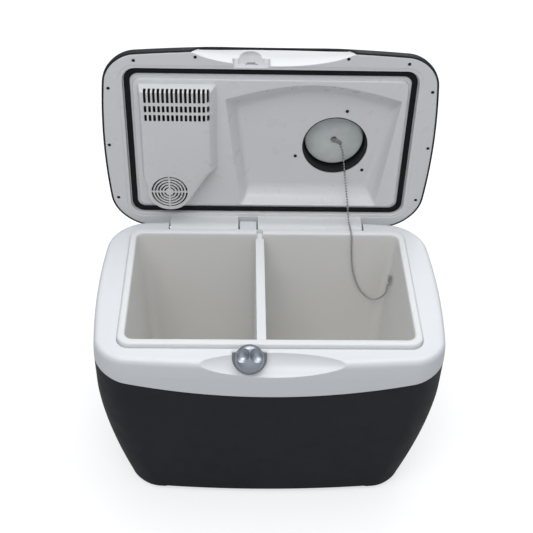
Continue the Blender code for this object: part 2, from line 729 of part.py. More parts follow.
def make_lid_shell():
    outside = lid_outline(0.0)
    rings = dome_rings(0.0)
    rings += [level(lid_outline(0.0055), FLANGE_Z + 0.0225), level(lid_outline(0.0014), FLANGE_Z + 0.0155)]
    rings += [level(outside, FLANGE_Z + 0.0100), level(outside, FLANGE_Z + 0.0006)]
    inside = SHELL_INSET - GAP
    rings += [level(lid_outline(inside), FLANGE_Z + 0.0006), level(lid_outline(inside), FLANGE_Z + 0.0115)]
    rings += [level(lid_outline(0.0082), FLANGE_Z + 0.0205)]
    rings += dome_rings(DOME_SKIN)[::-1]
    shell = loft("lid_shell", rings, CHARCOAL)
    seat = rod(
        "fill_hatch_seat", (HATCH.x, HATCH.y, 0.3960), (HATCH.x, HATCH.y, 0.4262), 0.0670, 24, helper=True
    )
    vent = rod(
        "fill_vent_seat",
        (HOT_FAN.x, HOT_FAN.y, 0.3980),
        (HOT_FAN.x, HOT_FAN.y, 0.4232),
        0.0580,
        20,
        helper=True,
    )
    pad = box("fill_control_pad", (-0.2700, -0.0330, 0.3800), (-0.2350, 0.0430, 0.4005), helper=True)
    join(shell, seat, vent, pad)
    cut(
        shell,
        rod("cut_hatch_seat", (HATCH.x, HATCH.y, 0.38), (HATCH.x, HATCH.y, 0.44), 0.0600, 24, helper=True),
        rod(
            "cut_vent_seat",
            (HOT_FAN.x, HOT_FAN.y, 0.38),
            (HOT_FAN.x, HOT_FAN.y, 0.44),
            0.0525,
            24,
            helper=True,
        ),
        lid_scoop("cut_shell_scoop", 0.0006),
        box("cut_switch", (-0.2605, -0.0225, 0.37), (-0.2445, -0.0035, 0.41), helper=True),
        rod("cut_socket", (-0.2525, 0.0225, 0.37), (-0.2525, 0.0225, 0.41), 0.0083, 16, helper=True),
        box("cut_pad_face", (-0.2690, -0.0320, 0.3990), (-0.2360, 0.0420, 0.4200), helper=True),
        box("cut_pad_room", (-0.2672, -0.0300, 0.3700), (-0.2378, 0.0400, 0.3960), helper=True),
    )


def make_lid_insulation():
    drop = DOME_SKIN + 0.0007

    def ring(half_x, half_y, front, rear, bow):
        return few(half_x, half_y, rear, bow=bow)

    rings = [level(dome_outline(share, 0.001, ring), FLANGE_Z + rise - drop) for share, rise in DOME]
    rings.append(level(dome_outline(DOME[-1][0], 0.001, ring), FLANGE_Z + 0.0120))
    foam = loft("lid_insulation", rings, FOAM)
    cut(
        foam,
        pocket(0.0036, POCKET_Z + 0.0036, "cut_foam_recess"),
        rod("cut_foam_hatch", (HATCH.x, HATCH.y, 0.36), (HATCH.x, HATCH.y, 0.44), 0.0695, 24, helper=True),
        box("cut_foam_cooler", (-0.40, -0.25, 0.36), (-0.0970, 0.25, 0.44), helper=True),
        box("cut_foam_front", (-0.20, -0.25, 0.36), (0.150, -0.1415, 0.44), helper=True),
    )


def make_lid_seal():
    def band(grow, z):
        return level(square(0.2542 + grow, 0.1498 + grow, 0.0225), z)

    def inner(grow, z):
        return level(square(0.2440 - grow, 0.1404 - grow, 0.0155), z)

    rings = [band(0.0, 0.3642), band(0.0, 0.3624), band(-0.0012, 0.3613), inner(-0.0012, 0.3613)]
    rings += [inner(0.0, 0.3624), inner(0.0, 0.3642)]
    loft("lid_seal", rings, RUBBER, closed=True)


def make_strike():
    turn = latch_frame()
    strike = box("strike_plate", (-0.0110, 0.0110, -0.0092), (0.0110, 0.0205, -0.0079), STEEL, turn=turn)
    join(
        strike,
        box(
            "fill_strike_tab", (-0.0070, 0.0118, -0.0085), (0.0070, 0.0152, -0.0055), helper=True, turn=turn
        ),
    )


def cover_outline(spread, round_off=0.0):
    """The fan cover from inside the box: a rectangle with a chamfered corner and a round end at the fan."""
    left, right, front = -0.2265 - spread, -0.1040 + spread * 2.4, -0.1225 - spread * 0.4
    radius = 0.0410 + spread * 0.6
    points = [(left, front), (right, front), (right, 0.0420 + spread)]
    first = math.degrees(math.atan2(0.104 - FAN_HUB.y, -0.143 - FAN_HUB.x)) - 4
    steps = 8
    for i in range(steps + 1):
        angle = math.radians(first + (196 - first) * i / steps)
        points.append((FAN_HUB.x + radius * math.cos(angle), FAN_HUB.y + radius * math.sin(angle)))
    points.append((left, 0.055))
    return points


def make_fan_cover():
    rings = [
        level(cover_outline(-0.0045), COVER_Z),
        level(cover_outline(-0.0012), COVER_Z + 0.0014),
        level(cover_outline(0.0), COVER_Z + 0.0050),
        level(cover_outline(0.0040), FLANGE_Z - GAP),
        level(cover_outline(0.0020), FLANGE_Z - GAP),
        level(cover_outline(-0.0020), COVER_Z + 0.0060),
        level(cover_outline(-0.0050), COVER_Z + 0.0024),
    ]
    cover = loft("fan_cover", rings, PANEL)
    slots = bmesh.new()
    columns, pitch, slot_width = 15, 0.00775, 0.0046
    for column in range(columns):
        x = -0.2190 + column * pitch
        for front, rear, depth in ((-0.1300, -0.1003, 0.012), (-0.0953, -0.0820, 0.004), (-0.0778, -0.0645, 0.004)):
            reach = depth if column < columns - 2 else 0.012
            size = Matrix.Diagonal((slot_width, rear - front, reach + 0.01, 1.0))
            middle = (x + slot_width / 2, (front + rear) / 2, COVER_Z + (reach - 0.01) / 2)
            bmesh.ops.create_cube(slots, size=1.0, matrix=Matrix.Translation(middle) @ size)
    cut(cover, add("cut_cover_slots", slots, helper=True))
    cut(
        cover,
        grille_slots(
            "cut_cover_grille", FAN_HUB, COVER_Z - 0.005, COVER_Z + 0.006, 0.0075, 0.0056, 0.0031, 5, 4
        ),
    )


def grille_slots(name, centre, low, high, first, pitch, width, rings, arms):
    """Curved slots in rings around a centre, broken by straight arms."""
    bm = bmesh.new()
    half_arm = 0.0012
    for ring in range(rings):
        inner = first + ring * pitch
        outer = inner + width
        margin = math.degrees(half_arm / inner)
        steps = 2 + ring // 3
        for arm in range(arms):
            start = 360 / arms * arm + margin
            points = sector(inner, outer, start, start + 360 / arms - 2 * margin, steps)
            face = bm.faces.new([bm.verts.new((centre.x + x, centre.y + y, low)) for x, y in points])
            raised = bmesh.ops.extrude_face_region(bm, geom=[face])["geom"]
            moved = [item for item in raised if isinstance(item, bmesh.types.BMVert)]
            bmesh.ops.translate(bm, verts=moved, vec=(0, 0, high - low))
    return add(name, bm, helper=True)


def make_fan(prefix, centre, low, depth, radius):
    """A round axial fan: a ring with a motor plate on three arms, and a bladed rotor that spins on it."""
    x, y = centre.x, centre.y
    frame = rod(prefix + "_fan_frame", (x, y, low), (x, y, low + depth), radius, 20, DARK)
    cut(
        frame,
        rod(
            f"cut_{prefix}_duct",
            (x, y, low - 0.01),
            (x, y, low + depth + 0.01),
            radius - 0.0022,
            20,
            helper=True,
        ),
    )
    hub_radius = radius * 0.34
    base_low = low + depth - 0.0022
    for arm in range(3):
        spin = Matrix.Translation((x, y, 0)) @ Matrix.Rotation(math.radians(120 * arm + 30), 4, "Z")
        bar_low, bar_high = (0, -0.002, base_low), (radius - 0.001, 0.002, low + depth)
        bar = box(f"fill_{prefix}_arm_{arm}", bar_low, bar_high, helper=True, turn=spin)
        join(frame, bar)
    join(
        frame,
        rod(f"fill_{prefix}_motor", (x, y, base_low), (x, y, low + depth), hub_radius, 16, helper=True),
    )
    join(
        frame,
        rod(f"fill_{prefix}_pin", (x, y, low + 0.004), (x, y, low + depth - 0.001), 0.0014, 8, helper=True),
    )
    rotor_low, rotor_high = low + 0.0010, base_low - 0.0012
    rotor = rod(prefix + "_fan_rotor", (x, y, rotor_low), (x, y, rotor_high), hub_radius, 16, DARK)
    blades = bmesh.new()
    count, tip = 7, radius - 0.0040
    half = (rotor_high - rotor_low) / 2
    for blade in range(count):
        place = Matrix.Translation((x, y, (rotor_low + rotor_high) / 2))
        place @= Matrix.Rotation(math.tau * blade / count, 4, "Z")
        place @= Matrix.Translation(((tip + hub_radius * 0.8) / 2, 0, 0))
        place @= Matrix.Rotation(math.radians(38), 4, "X")
        place @= Matrix.Diagonal((tip - hub_radius * 0.8, half * 2.2, 0.0014, 1.0))
        bmesh.ops.create_cube(blades, size=1.0, matrix=place)
    join(rotor, add(f"fill_{prefix}_blades", blades, helper=True))
    cut(
        rotor,
        rod(f"cut_{prefix}_bearing", (x, y, low + 0.0030), (x, y, low + depth), 0.0018, 10, helper=True),
    )
    return rotor


def make_heatsink(name, half_x, half_y, base_low, base_high, fin_end, fins):
    """A comb profile in XZ, as long as the sink is deep."""
    pitch = (2 * half_x - 0.0016) / (fins - 1)
    near, far = (base_low, base_high) if fin_end < base_low else (base_high, base_low)
    points = [(-half_x, far), (half_x, far)]
    for fin in reversed(range(fins)):
        low = -half_x + fin * pitch
        points += [(low + 0.0016, near), (low + 0.0016, fin_end), (low, fin_end), (low, near)]
    tidy = [points[0], points[1]] + points[3:-1]
    to_side = Matrix.Translation((SINK.x, SINK.y, 0)) @ Matrix(
        ((1, 0, 0, 0), (0, 0, -1, 0), (0, 1, 0, 0), (0, 0, 0, 1))
    )
    return prism(name, tidy, -half_y, half_y, ALUMINIUM, turn=to_side)


def make_cooling_unit():
    make_heatsink("cold_heatsink", 0.0450, 0.0400, 0.3525, 0.3575, 0.3350, 10)
    box(
        "spacer_block",
        (SINK.x - 0.020, SINK.y - 0.020, 0.3578),
        (SINK.x + 0.020, SINK.y + 0.020, 0.3690),
        ALUMINIUM,
    )
    box(
        "peltier_module",
        (SINK.x - 0.020, SINK.y - 0.020, 0.3693),
        (SINK.x + 0.020, SINK.y + 0.020, 0.3731),
        CERAMIC,
    )
    make_heatsink("hot_heatsink", 0.0480, 0.0420, 0.3734, 0.3784, 0.3950, 10)
    rotors = [
        make_fan("cold", FAN_HUB, 0.3330, 0.0150, 0.0355), make_fan("hot", HOT_FAN, 0.3965, 0.0160, 0.0455)
    ]
    grille = rod(
        "outer_vent_grille",
        (HOT_FAN.x, HOT_FAN.y, 0.4196),
        (HOT_FAN.x, HOT_FAN.y, 0.4224),
        0.0520,
        24,
        DARK,
    )
    cut(grille, grille_slots("cut_vent_grille", HOT_FAN, 0.41, 0.43, 0.0140, 0.0092, 0.0055, 4, 4))
    board = box("control_board", (-0.2200, 0.0620, 0.3720), (-0.1250, 0.1150, 0.3736), BOARD)
    join(
        board,
        box("fill_board_chip", (-0.2000, 0.0750, 0.3730), (-0.1850, 0.0900, 0.3760), helper=True),
        box("fill_board_relay", (-0.1700, 0.0700, 0.3730), (-0.1500, 0.0860, 0.3880), helper=True),
        rod(
            "fill_board_can", (-0.1400, 0.0980, 0.3730), (-0.1400, 0.0980, 0.3880), 0.0060, 12, helper=True
        ),
    )
    socket = rod("power_socket", (-0.2525, 0.0225, 0.3850), (-0.2525, 0.0225, 0.4010), 0.0080, 16, DARK)
    join(
        socket,
        rod(
            "fill_socket_rim", (-0.2525, 0.0225, 0.3993), (-0.2525, 0.0225, 0.4010), 0.0100, 20, helper=True
        ),
    )
    cut(
        socket,
        rod("cut_socket_bore", (-0.2525, 0.0225, 0.3880), (-0.2525, 0.0225, 0.41), 0.0060, 16, helper=True),
    )
    pivot = Matrix.Translation(ROCKER)
    tilt = pivot @ Matrix.Rotation(-ROCKER_TILT, 4, "X")
    rocker = box("rocker_switch", (-0.0075, -0.0075, -0.0035), (0.0075, 0.0075, 0.0038), DARK, turn=tilt)
    return rotors, rocker


def make_hatch():
    x, y = HATCH.x, HATCH.y
    tube = rod("hatch_tube", (x, y, POCKET_Z + 0.0004), (x, y, 0.4252), 0.0596, 24, DARK)
    cut(tube, rod("cut_tube_bore", (x, y, 0.37), (x, y, 0.44), HATCH_RADIUS, 24, helper=True))
    cap = rod("plug_cap", (x, y, 0.4190), (x, y, 0.4262), 0.0568, 24, CHARCOAL)
    cut(cap, rod("cut_cap_bowl", (x, y, 0.4225), (x, y, 0.44), 0.0450, 20, helper=True, end_radius=0.050))
    join(
        cap,
        box("fill_cap_grip", (x - 0.046, y - 0.005, 0.4205), (x + 0.046, y + 0.005, 0.4258), helper=True),
    )
    core = rod("plug_core", (x, y, 0.4062), (x, y, 0.4187), 0.0540, 24, PLUG)
    cut(core, rod("cut_core_bore", (x, y, 0.40), (x, y, 0.4140), 0.0018, 8, helper=True))
    groove = rod("cut_core_groove", (x, y, 0.4115), (x, y, 0.4155), 0.060, 24, helper=True)
    cut(groove, rod("cut_groove_core", (x, y, 0.40), (x, y, 0.42), 0.0520, 24, helper=True))
    cut(core, groove)
    ring = rod("plug_seal", (x, y, 0.4119), (x, y, 0.4151), 0.0568, 24, RUBBER)
    cut(ring, rod("cut_seal_bore", (x, y, 0.40), (x, y, 0.42), 0.0524, 24, helper=True))
    eye = rod("chain_eye", (x, y, 0.4045), (x, y, 0.4058), 0.0062, 16, STEEL)
    join(
        eye,
        box("fill_eye_tab", (0, -0.0026, 0.4045), (0.0135, 0.0026, 0.4058), helper=True, turn=eye_turn()),
        rod(
            "fill_eye_end",
            (0.0135, 0, 0.4045),
            (0.0135, 0, 0.4058),
            0.0034,
            12,
            helper=True,
            turn=eye_turn(),
        ),
    )
    cut(
        eye,
        rod("cut_eye_screw", (x, y, 0.40), (x, y, 0.41), 0.0019, 10, helper=True),
        rod("cut_eye_ring", (0.0135, 0, 0.40), (0.0135, 0, 0.41), 0.0017, 10, helper=True, turn=eye_turn()),
    )
    screw = rod("plug_screw", (x, y, 0.4022), (x, y, 0.4042), 0.0042, 14, STEEL)
    join(screw, rod("fill_plug_screw", (x, y, 0.4035), (x, y, 0.4135), 0.0014, 8, helper=True))
    return [cap, core, ring, eye, screw]


def eye_turn():
    return Matrix.Translation((HATCH.x, HATCH.y, 0)) @ Matrix.Rotation(math.radians(32), 4, "Z")


# Chain, modelled with the lid open


def tube_along(name, points, radius, sides=6):
    """A thin round bar through points: what the bead chain fills."""
    path = [Vector(p) for p in points]
    rings = []
    for i, point in enumerate(path):
        along = (path[min(i + 1, len(path) - 1)] - path[max(i - 1, 0)]).normalized()
        side = along.cross(Vector((0, 0.2, 1))).normalized()
        up = side.cross(along)
        ring = []
        for k in range(sides):
            angle = math.tau * k / sides
            ring.append(point + radius * (side * math.cos(angle) + up * math.sin(angle)))
        rings.append(ring)
    return loft(name, rings, STEEL)


def smooth_path(corners, steps):
    """Points on a Catmull-Rom curve through the corners."""
    path = []
    for i in range(len(corners) - 1):
        p0 = Vector(corners[max(i - 1, 0)])
        p1, p2 = Vector(corners[i]), Vector(corners[i + 1])
        p3 = Vector(corners[min(i + 2, len(corners) - 1)])
        for k in range(steps):
            t = k / steps
            bend = (p2 - p0) * t + (2 * p0 - 5 * p1 + 4 * p2 - p3) * t * t
            bend += (3 * p1 - p0 - 3 * p2 + p3) * t ** 3
            path.append(p1 + 0.5 * bend)
    path.append(Vector(corners[-1]))
    return path


def make_chain():
    upper = (
        (0.1335, 0.2475, 0.4850),
        (0.1385, 0.2360, 0.4690),
        (0.1425, 0.2215, 0.4420),
        (0.1510, 0.1905, 0.3760),
    )
    lower = (
        (0.1512, 0.1890, 0.3735),
        (0.1525, 0.1700, 0.3625),
        (0.1535, 0.1500, 0.3636),
        (0.1545, 0.1385, 0.3638),
        (0.1552, 0.1338, 0.3600),
        (0.1560, 0.1322, 0.3500),
        (0.1580, 0.1285, 0.3200),
        (0.1640, 0.1270, 0.2780),
        (0.1800, 0.1245, 0.2330),
        (0.2060, 0.1180, 0.2120),
        (0.2260, 0.1090, 0.2320),
        (0.2300, 0.1050, 0.2620),
    )
    tube_along("chain_upper", smooth_path(upper, 4), 0.0018)
    tube_along("chain_lower", smooth_path(lower, 3), 0.0018)
    eye = rod("chain_hook", (0.2318, 0.1040, 0.2790), (0.2338, 0.1040, 0.2790), 0.0085, 16, STEEL)
    join(
        eye,
        rod("fill_hook_end", (0.2295, 0.1040, 0.2700), (0.2325, 0.1040, 0.2700), 0.0045, 12, helper=True),
    )
    cut(eye, rod("cut_hook_screw", (0.22, 0.1040, 0.2810), (0.24, 0.1040, 0.2810), 0.0019, 10, helper=True))
    screw = rod("hook_screw", (0.2296, 0.1040, 0.2810), (0.2315, 0.1040, 0.2810), 0.0036, 12, STEEL)
    join(
        screw,
        rod("fill_hook_screw", (0.2305, 0.1040, 0.2810), (0.2336, 0.1040, 0.2810), 0.0014, 8, helper=True),
    )


def set_origin(obj, point):
    obj.data.transform(Matrix.Translation(-Vector(point)))
    obj.location = point


def hang(objects, pivot):
    """Parents objects to an empty without moving them."""
    for obj in objects:
        obj.parent = pivot
        obj.matrix_parent_inverse = pivot.matrix_world.inverted()


def put_at_origin():
    """Moves everything so that the origin lies below the middle of the open cooler."""
    base = empty("cooler", (0.0, 0.0, 0.0))
    hang([obj for obj in bpy.data.objects if obj.parent is None and obj is not base], base)
    base.location.y = -MIDDLE_Y


def empty(name, location):
    made = bpy.data.objects.new(name, None)
    bpy.context.scene.collection.objects.link(made)
    made.location = location
    bpy.context.view_layer.update()
    return made


make_outer_shell()
make_collar()
make_liner()
make_body_insulation()
make_divider()
make_latch()
make_chain()
tub_objects = set(bpy.data.objects)

lid_panel = make_lid_panel()
make_screws(lid_panel)
make_lid_shell()
make_lid_insulation()
make_lid_seal()
make_strike()
make_fan_cover()
fan_rotors, rocker_switch = make_cooling_unit()
plug_parts = make_hatch()
for part, axis_point in zip(
    (*fan_rotors, rocker_switch),
    ((FAN_HUB.x, FAN_HUB.y, 0.34), (HOT_FAN.x, HOT_FAN.y, 0.40), ROCKER),
):
    set_origin(part, axis_point)
plug_axis = empty("plug_axis", (HATCH.x, HATCH.y, 0.41))
hang(plug_parts, plug_axis)
hinge = empty("lid_hinge", (0.0, HINGE_Y, HINGE_Z))
hang(
    [obj for obj in bpy.data.objects if obj not in tub_objects and obj.parent is None and obj is not hinge],
    hinge,
)
hinge.rotation_euler.x = -OPEN_ANGLE
put_at_origin()
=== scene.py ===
"""The looks of a portable thermoelectric cooler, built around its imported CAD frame.

Metres, +Z up, -Y is the front. Pieces of the lid are built closed, as they are moulded, and then turned
open. Sizes that aren't read from the frame are the part's own sizes, named below.
"""

import json
import math

import bmesh
import bpy
from mathutils import Matrix, Vector


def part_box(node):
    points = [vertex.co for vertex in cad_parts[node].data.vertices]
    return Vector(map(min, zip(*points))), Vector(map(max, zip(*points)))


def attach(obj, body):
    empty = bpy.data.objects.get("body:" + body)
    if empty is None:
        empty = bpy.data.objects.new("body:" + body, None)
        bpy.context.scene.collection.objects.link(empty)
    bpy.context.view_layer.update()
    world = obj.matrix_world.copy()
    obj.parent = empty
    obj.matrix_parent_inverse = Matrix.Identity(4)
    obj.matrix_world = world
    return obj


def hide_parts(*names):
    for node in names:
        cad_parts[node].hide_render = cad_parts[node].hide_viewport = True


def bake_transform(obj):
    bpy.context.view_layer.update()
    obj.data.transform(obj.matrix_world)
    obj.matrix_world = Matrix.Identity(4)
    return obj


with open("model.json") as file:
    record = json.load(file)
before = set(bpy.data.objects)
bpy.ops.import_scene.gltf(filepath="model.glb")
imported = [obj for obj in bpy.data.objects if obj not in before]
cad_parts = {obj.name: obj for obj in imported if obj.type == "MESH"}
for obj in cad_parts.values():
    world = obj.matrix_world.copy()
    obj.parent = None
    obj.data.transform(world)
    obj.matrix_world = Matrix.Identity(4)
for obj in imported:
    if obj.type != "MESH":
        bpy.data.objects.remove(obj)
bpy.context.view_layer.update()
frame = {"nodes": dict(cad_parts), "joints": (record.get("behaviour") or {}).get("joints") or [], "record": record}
NODES = frame["nodes"]
JOINTS = {joint["name"]: joint for joint in frame["joints"]}

# From the middle of the tub, around which everything is built, to its place in the frame
COLLAR_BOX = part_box("collar_frame")
SHIFT = Vector((0, (COLLAR_BOX[0].y + COLLAR_BOX[1].y) / 2, 0))

HINGE = Vector(JOINTS["lid_hinge"]["pos_m"]) - SHIFT
OPEN_DEGREES = JOINTS["lid_hinge"]["range_deg"][0]
SWING = Matrix.Rotation(math.radians(OPEN_DEGREES), 4, "X")
OPEN = Matrix.Translation(HINGE) @ SWING @ Matrix.Translation(-HINGE)
CLOSED = OPEN.inverted()
BUILT_CLOSED = ("lid", "plug", "rocker")


def closed_box(node):
    """The box that a node of the lid fills when the lid is closed."""
    points = [CLOSED @ (vertex.co - SHIFT) for vertex in NODES[node].data.vertices]
    low = Vector([min(point[axis] for point in points) for axis in range(3)])
    high = Vector([max(point[axis] for point in points) for axis in range(3)])
    return low, high


def closed_middle(node):
    low, high = closed_box(node)
    return (low + high) / 2


# Tub
BOW = 0.013
RIM_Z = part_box("inner_liner")[1].z
TOP_Z = RIM_Z - 0.008
HALF_X = COLLAR_BOX[1].x - BOW
HALF_Y = (COLLAR_BOX[1].y - COLLAR_BOX[0].y) / 2 - BOW
FRONT_CORNER = 0.050
REAR_CORNER = 0.062
TAPER_FROM_Z = 0.250
TAPER_POWER = 1.6
SIDE_TAPER = 0.046
END_TAPER = 0.009
WALL = 0.003
SHELL_FOOT_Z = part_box("outer_shell")[0].z
UNDERSIDE_Z = SHELL_FOOT_Z + 0.010
SKID_HALF_GAP = 0.188
SEAM_MID_Z = COLLAR_BOX[0].z - 0.0003
SEAM_RISE = 0.034
SEAM_HALF_X = 0.300
MOUTH_X = 0.241
MOUTH_Y = 0.1355
FLOOR_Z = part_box("inner_liner")[0].z + 0.003
LIP_X = 0.254
LIP_Y = 0.1495
DIVIDER_TOP_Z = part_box("divider")[1].z
DIVIDER_X = (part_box("divider")[0].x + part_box("divider")[1].x) / 2

# Lid and hinge
BARREL_RADIUS = 0.0165
KNUCKLES = ((-0.182, -0.055), (-0.018, 0.178))
KNUCKLE_GAP = 0.003
BEHIND_Y = 0.30
FLANGE_Z = RIM_Z - 0.005
LID_HALF_X = closed_box("lid_shell")[1].x - BOW
SHELL_INSET = 0.003
DOME_SKIN = 0.003
DOME = (
    (0.015, 0.0721), (0.08, 0.0715), (0.27, 0.0680), (0.50, 0.0605), (0.70, 0.0520), (0.84, 0.0425),
    (0.93, 0.0325),
)

# Latch
LATCH = Vector(JOINTS["latch_turn"]["pos_m"]) - SHIFT
LATCH_LEAN = math.asin(-JOINTS["latch_turn"]["axis"][2])
PLATE_RADIUS = 0.0285
PLATE_TOP = 0.0095
KNOB_RADIUS = 0.0240
HOOD_RADIUS = 0.0278

# Hatch, cooling unit and controls
HATCH = closed_middle("hatch_tube")
HATCH_RADIUS = 0.0575
HATCH_SEAT_RADIUS = 0.0600
POCKET_Z = RIM_Z + 0.022
FAN_HUB = closed_middle("cold_fan_frame")
HOT_FAN = closed_middle("hot_fan_frame")
COVER_Z = closed_box("fan_cover")[0].z
SOCKET = closed_middle("power_socket")
ROCKER = closed_middle("rocker_switch")

# How finely round outlines are drawn
ARC = 12
LONG = 30
SHORT = 18
ROUND = 96

# A turned profile ends this close to its axis
AXIS = 0.0004

# Matrices that lay an (x, y) outline in the YZ or the XZ plane, to be extruded along X or Y
ALONG_X = Matrix(((0, 0, 1, 0), (1, 0, 0, 0), (0, 1, 0, 0), (0, 0, 0, 1)))
ALONG_Y = Matrix(((1, 0, 0, 0), (0, 0, 1, 0), (0, 1, 0, 0), (0, 0, 0, 1)))

# Solids with these names only shape the pieces
HELPER_NAMES = ("cut_", "fill_", "trim_")
HELPERS = []
MATERIALS = {}


# Mesh helpers


def add(name, bm, turn=None):
    """One object from a bmesh, with its normals facing out."""
    if turn:
        bm.transform(turn)
    bmesh.ops.recalc_face_normals(bm, faces=bm.faces)
    mesh = bpy.data.meshes.new(name)
    bm.to_mesh(mesh)
    bm.free()
    obj = bpy.data.objects.new(name, mesh)
    bpy.context.scene.collection.objects.link(obj)
    if name.startswith(HELPER_NAMES):
        obj.hide_render = True
        HELPERS.append(obj)
    return obj


def skin(bm, rows, closed=False):
    """Faces between rings of vertices. A closed skin returns to its first ring, an open one is capped."""
    pairs = list(zip(rows, rows[1:]))
    if closed:
        pairs.append((rows[-1], rows[0]))
    for low, high in pairs:
        for i, corner in enumerate(low):
            j = (i + 1) % len(low)
            bm.faces.new((corner, low[j], high[j], high[i]))
    if not closed:
        bm.faces.new(rows[0])
        bm.faces.new(rows[-1])


def loft(name, rings, closed=False, turn=None):
    bm = bmesh.new()
    skin(bm, [[bm.verts.new(point) for point in ring] for ring in rings], closed)
    return add(name, bm, turn)


def box(name, low, high, turn=None):
    bm = bmesh.new()
    middle = (Vector(low) + Vector(high)) / 2
    size = Vector(high) - Vector(low)
    bmesh.ops.create_cube(bm, size=1.0, matrix=Matrix.Translation(middle) @ Matrix.Diagonal((*size, 1.0)))
    return add(name, bm, turn)


def prism(name, outline, low, high, turn=None):
    """An outline of (x, y) points extruded along Z."""
    return loft(name, [level(outline, low), level(outline, high)], turn=turn)


def turned(name, profile, centre=(0, 0), sides=ROUND, closed=False, turn=None):
    """A profile of (radius, z) pairs turned about a vertical axis."""
    angles = [math.tau * i / sides for i in range(sides)]
    rings = []
    for radius, z in profile:
        rings.append(
            [(centre[0] + radius * math.cos(a), centre[1] + radius * math.sin(a), z) for a in angles]
        )
    return loft(name, rings, closed, turn)


def rod(name, start, end, radius, sides=ROUND):
    """A cylinder from start to end."""
    along = Vector(end) - Vector(start)
    place = Matrix.Translation(start) @ along.to_track_quat("Z", "Y").to_matrix().to_4x4()
    return turned(name, ((radius, 0), (radius, along.length)), sides=sides, turn=place)


def bore(name, centre, radius, low, high, sides=ROUND):
    """An upright rod between two heights."""
    return rod(name, (centre[0], centre[1], low), (centre[0], centre[1], high), radius, sides)


def hinge_rod(name, start, end, radius, sides):
    """A rod on the lid hinge's axis between two places along X."""
    return rod(name, (start, HINGE.y, HINGE.z), (end, HINGE.y, HINGE.z), radius, sides)


def ellipsoid(name, centre, radii):
    bm = bmesh.new()
    size = Matrix.Diagonal((*radii, 1.0)) @ Matrix.Rotation(math.pi / 2, 4, "Y")
    place = Matrix.Translation(centre) @ size
    bmesh.ops.create_uvsphere(bm, u_segments=ROUND, v_segments=ROUND // 2, radius=1.0, matrix=place)
    return add(name, bm)


def combine(target, helper, operation):
    modifier = target.modifiers.new(helper.name, "BOOLEAN")
    modifier.operation = operation
    modifier.solver = "EXACT"
    modifier.object = helper


def cut(target, *helpers):
    for helper in helpers:
        combine(target, helper, "DIFFERENCE")


def join(target, *helpers):
    for helper in helpers:
        combine(target, helper, "UNION")


def soften(target, width, segments=3):
    """Rounds the edges that the target has so far."""
    modifier = target.modifiers.new("soft_edges", "BEVEL")
    modifier.width = width
    modifier.segments = segments
    modifier.limit_method = "ANGLE"
    modifier.angle_limit = math.radians(30)
    return target


def settle(obj, body, slot, node, sharp=32):
    """Applies the modifiers, puts the piece in its place, gives it its body and finish, and hides the CAD node
    that it stands for.
    """
    mesh = bpy.data.meshes.new_from_object(obj.evaluated_get(bpy.context.evaluated_depsgraph_get()))
    obj.modifiers.clear()
    obj.data = mesh
    if body in BUILT_CLOSED:
        mesh.transform(OPEN)
    mesh.transform(Matrix.Translation(SHIFT))
    mesh.shade_smooth()
    mesh.set_sharp_from_angle(angle=math.radians(sharp))
    weighted = obj.modifiers.new("even_normals", "WEIGHTED_NORMAL")
    weighted.keep_sharp = True
    mesh.materials.clear()
    mesh.materials.append(MATERIALS[slot])
    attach(obj, body)
    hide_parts(node)


# Outlines


def arc(radius, start, end, steps, x=0.0, y=0.0):
    """(x, y) points along a circle, with angles in degrees from +X."""
    angles = [math.radians(start + (end - start) * i / steps) for i in range(steps + 1)]
    return [(x + radius * math.cos(a), y + radius * math.sin(a)) for a in angles]


def bent(half_x, half_y, front, rear, bow=BOW):
    """(x, y) points of a rounded rectangle whose sides bow outwards, anticlockwise from the front right."""
    corners = (
        (half_x, -half_y, front, -90), (half_x, half_y, rear, 0), (-half_x, half_y, rear, 90),
        (-half_x, -half_y, front, 180),
    )
    plain = []
    for n, (x, y, radius, start) in enumerate(corners):
        centre = x - math.copysign(radius, x), y - math.copysign(radius, y)
        plain += arc(radius, start, start + 90, ARC, *centre)
        nx, ny, next_radius, _ = corners[(n + 1) % 4]
        if n % 2 == 0:
            steps, after = SHORT, (nx, ny - math.copysign(next_radius, ny))
        else:
            steps, after = LONG, (nx - math.copysign(next_radius, nx), ny)
        last = plain[-1]
        for i in range(1, steps):
            share = i / steps
            plain.append((last[0] + (after[0] - last[0]) * share, last[1] + (after[1] - last[1]) * share))
    return [
        (x + bow * x / half_x * (1 - (y / half_y) ** 2), y + bow * y / half_y * (1 - (x / half_x) ** 2))
        for x, y in plain
    ]


def level(outline, z):
    return [(x, y, z) for x, y in outline]


def stack(outline, base, rows):
    """Rings of an outline. A row holds what the outline takes and then the ring's height above base."""
    return [level(outline(*shape), base + rise) for *shape, rise in rows]


def seam(outline, drop):
    """The line where the collar meets the tub: lowest in the middle of the front and back."""
    return [(x, y, SEAM_MID_Z + SEAM_RISE * (x / SEAM_HALF_X) ** 2 - drop) for x, y in outline]


def tub_outline(z, inset=0.0):
    """The tub's outside at height z, which tapers towards the floor."""
    fall = max(0.0, (TAPER_FROM_Z - z) / TAPER_FROM_Z) ** TAPER_POWER
    half_x = HALF_X - SIDE_TAPER * fall - inset
    half_y = HALF_Y - END_TAPER * fall - inset
    return bent(half_x, half_y, FRONT_CORNER - inset, REAR_CORNER - inset)


def collar_outline(inset):
    return bent(HALF_X - inset, HALF_Y - inset, FRONT_CORNER - inset, REAR_CORNER - inset)


def lid_outline(inset):
    return bent(LID_HALF_X - inset, HALF_Y - inset, FRONT_CORNER - inset, REAR_CORNER - inset)


def square(half_x, half_y, corner):
    """A rounded rectangle with straight sides and as many points as the other outlines."""
    return bent(half_x, half_y, corner, corner, bow=0.0)


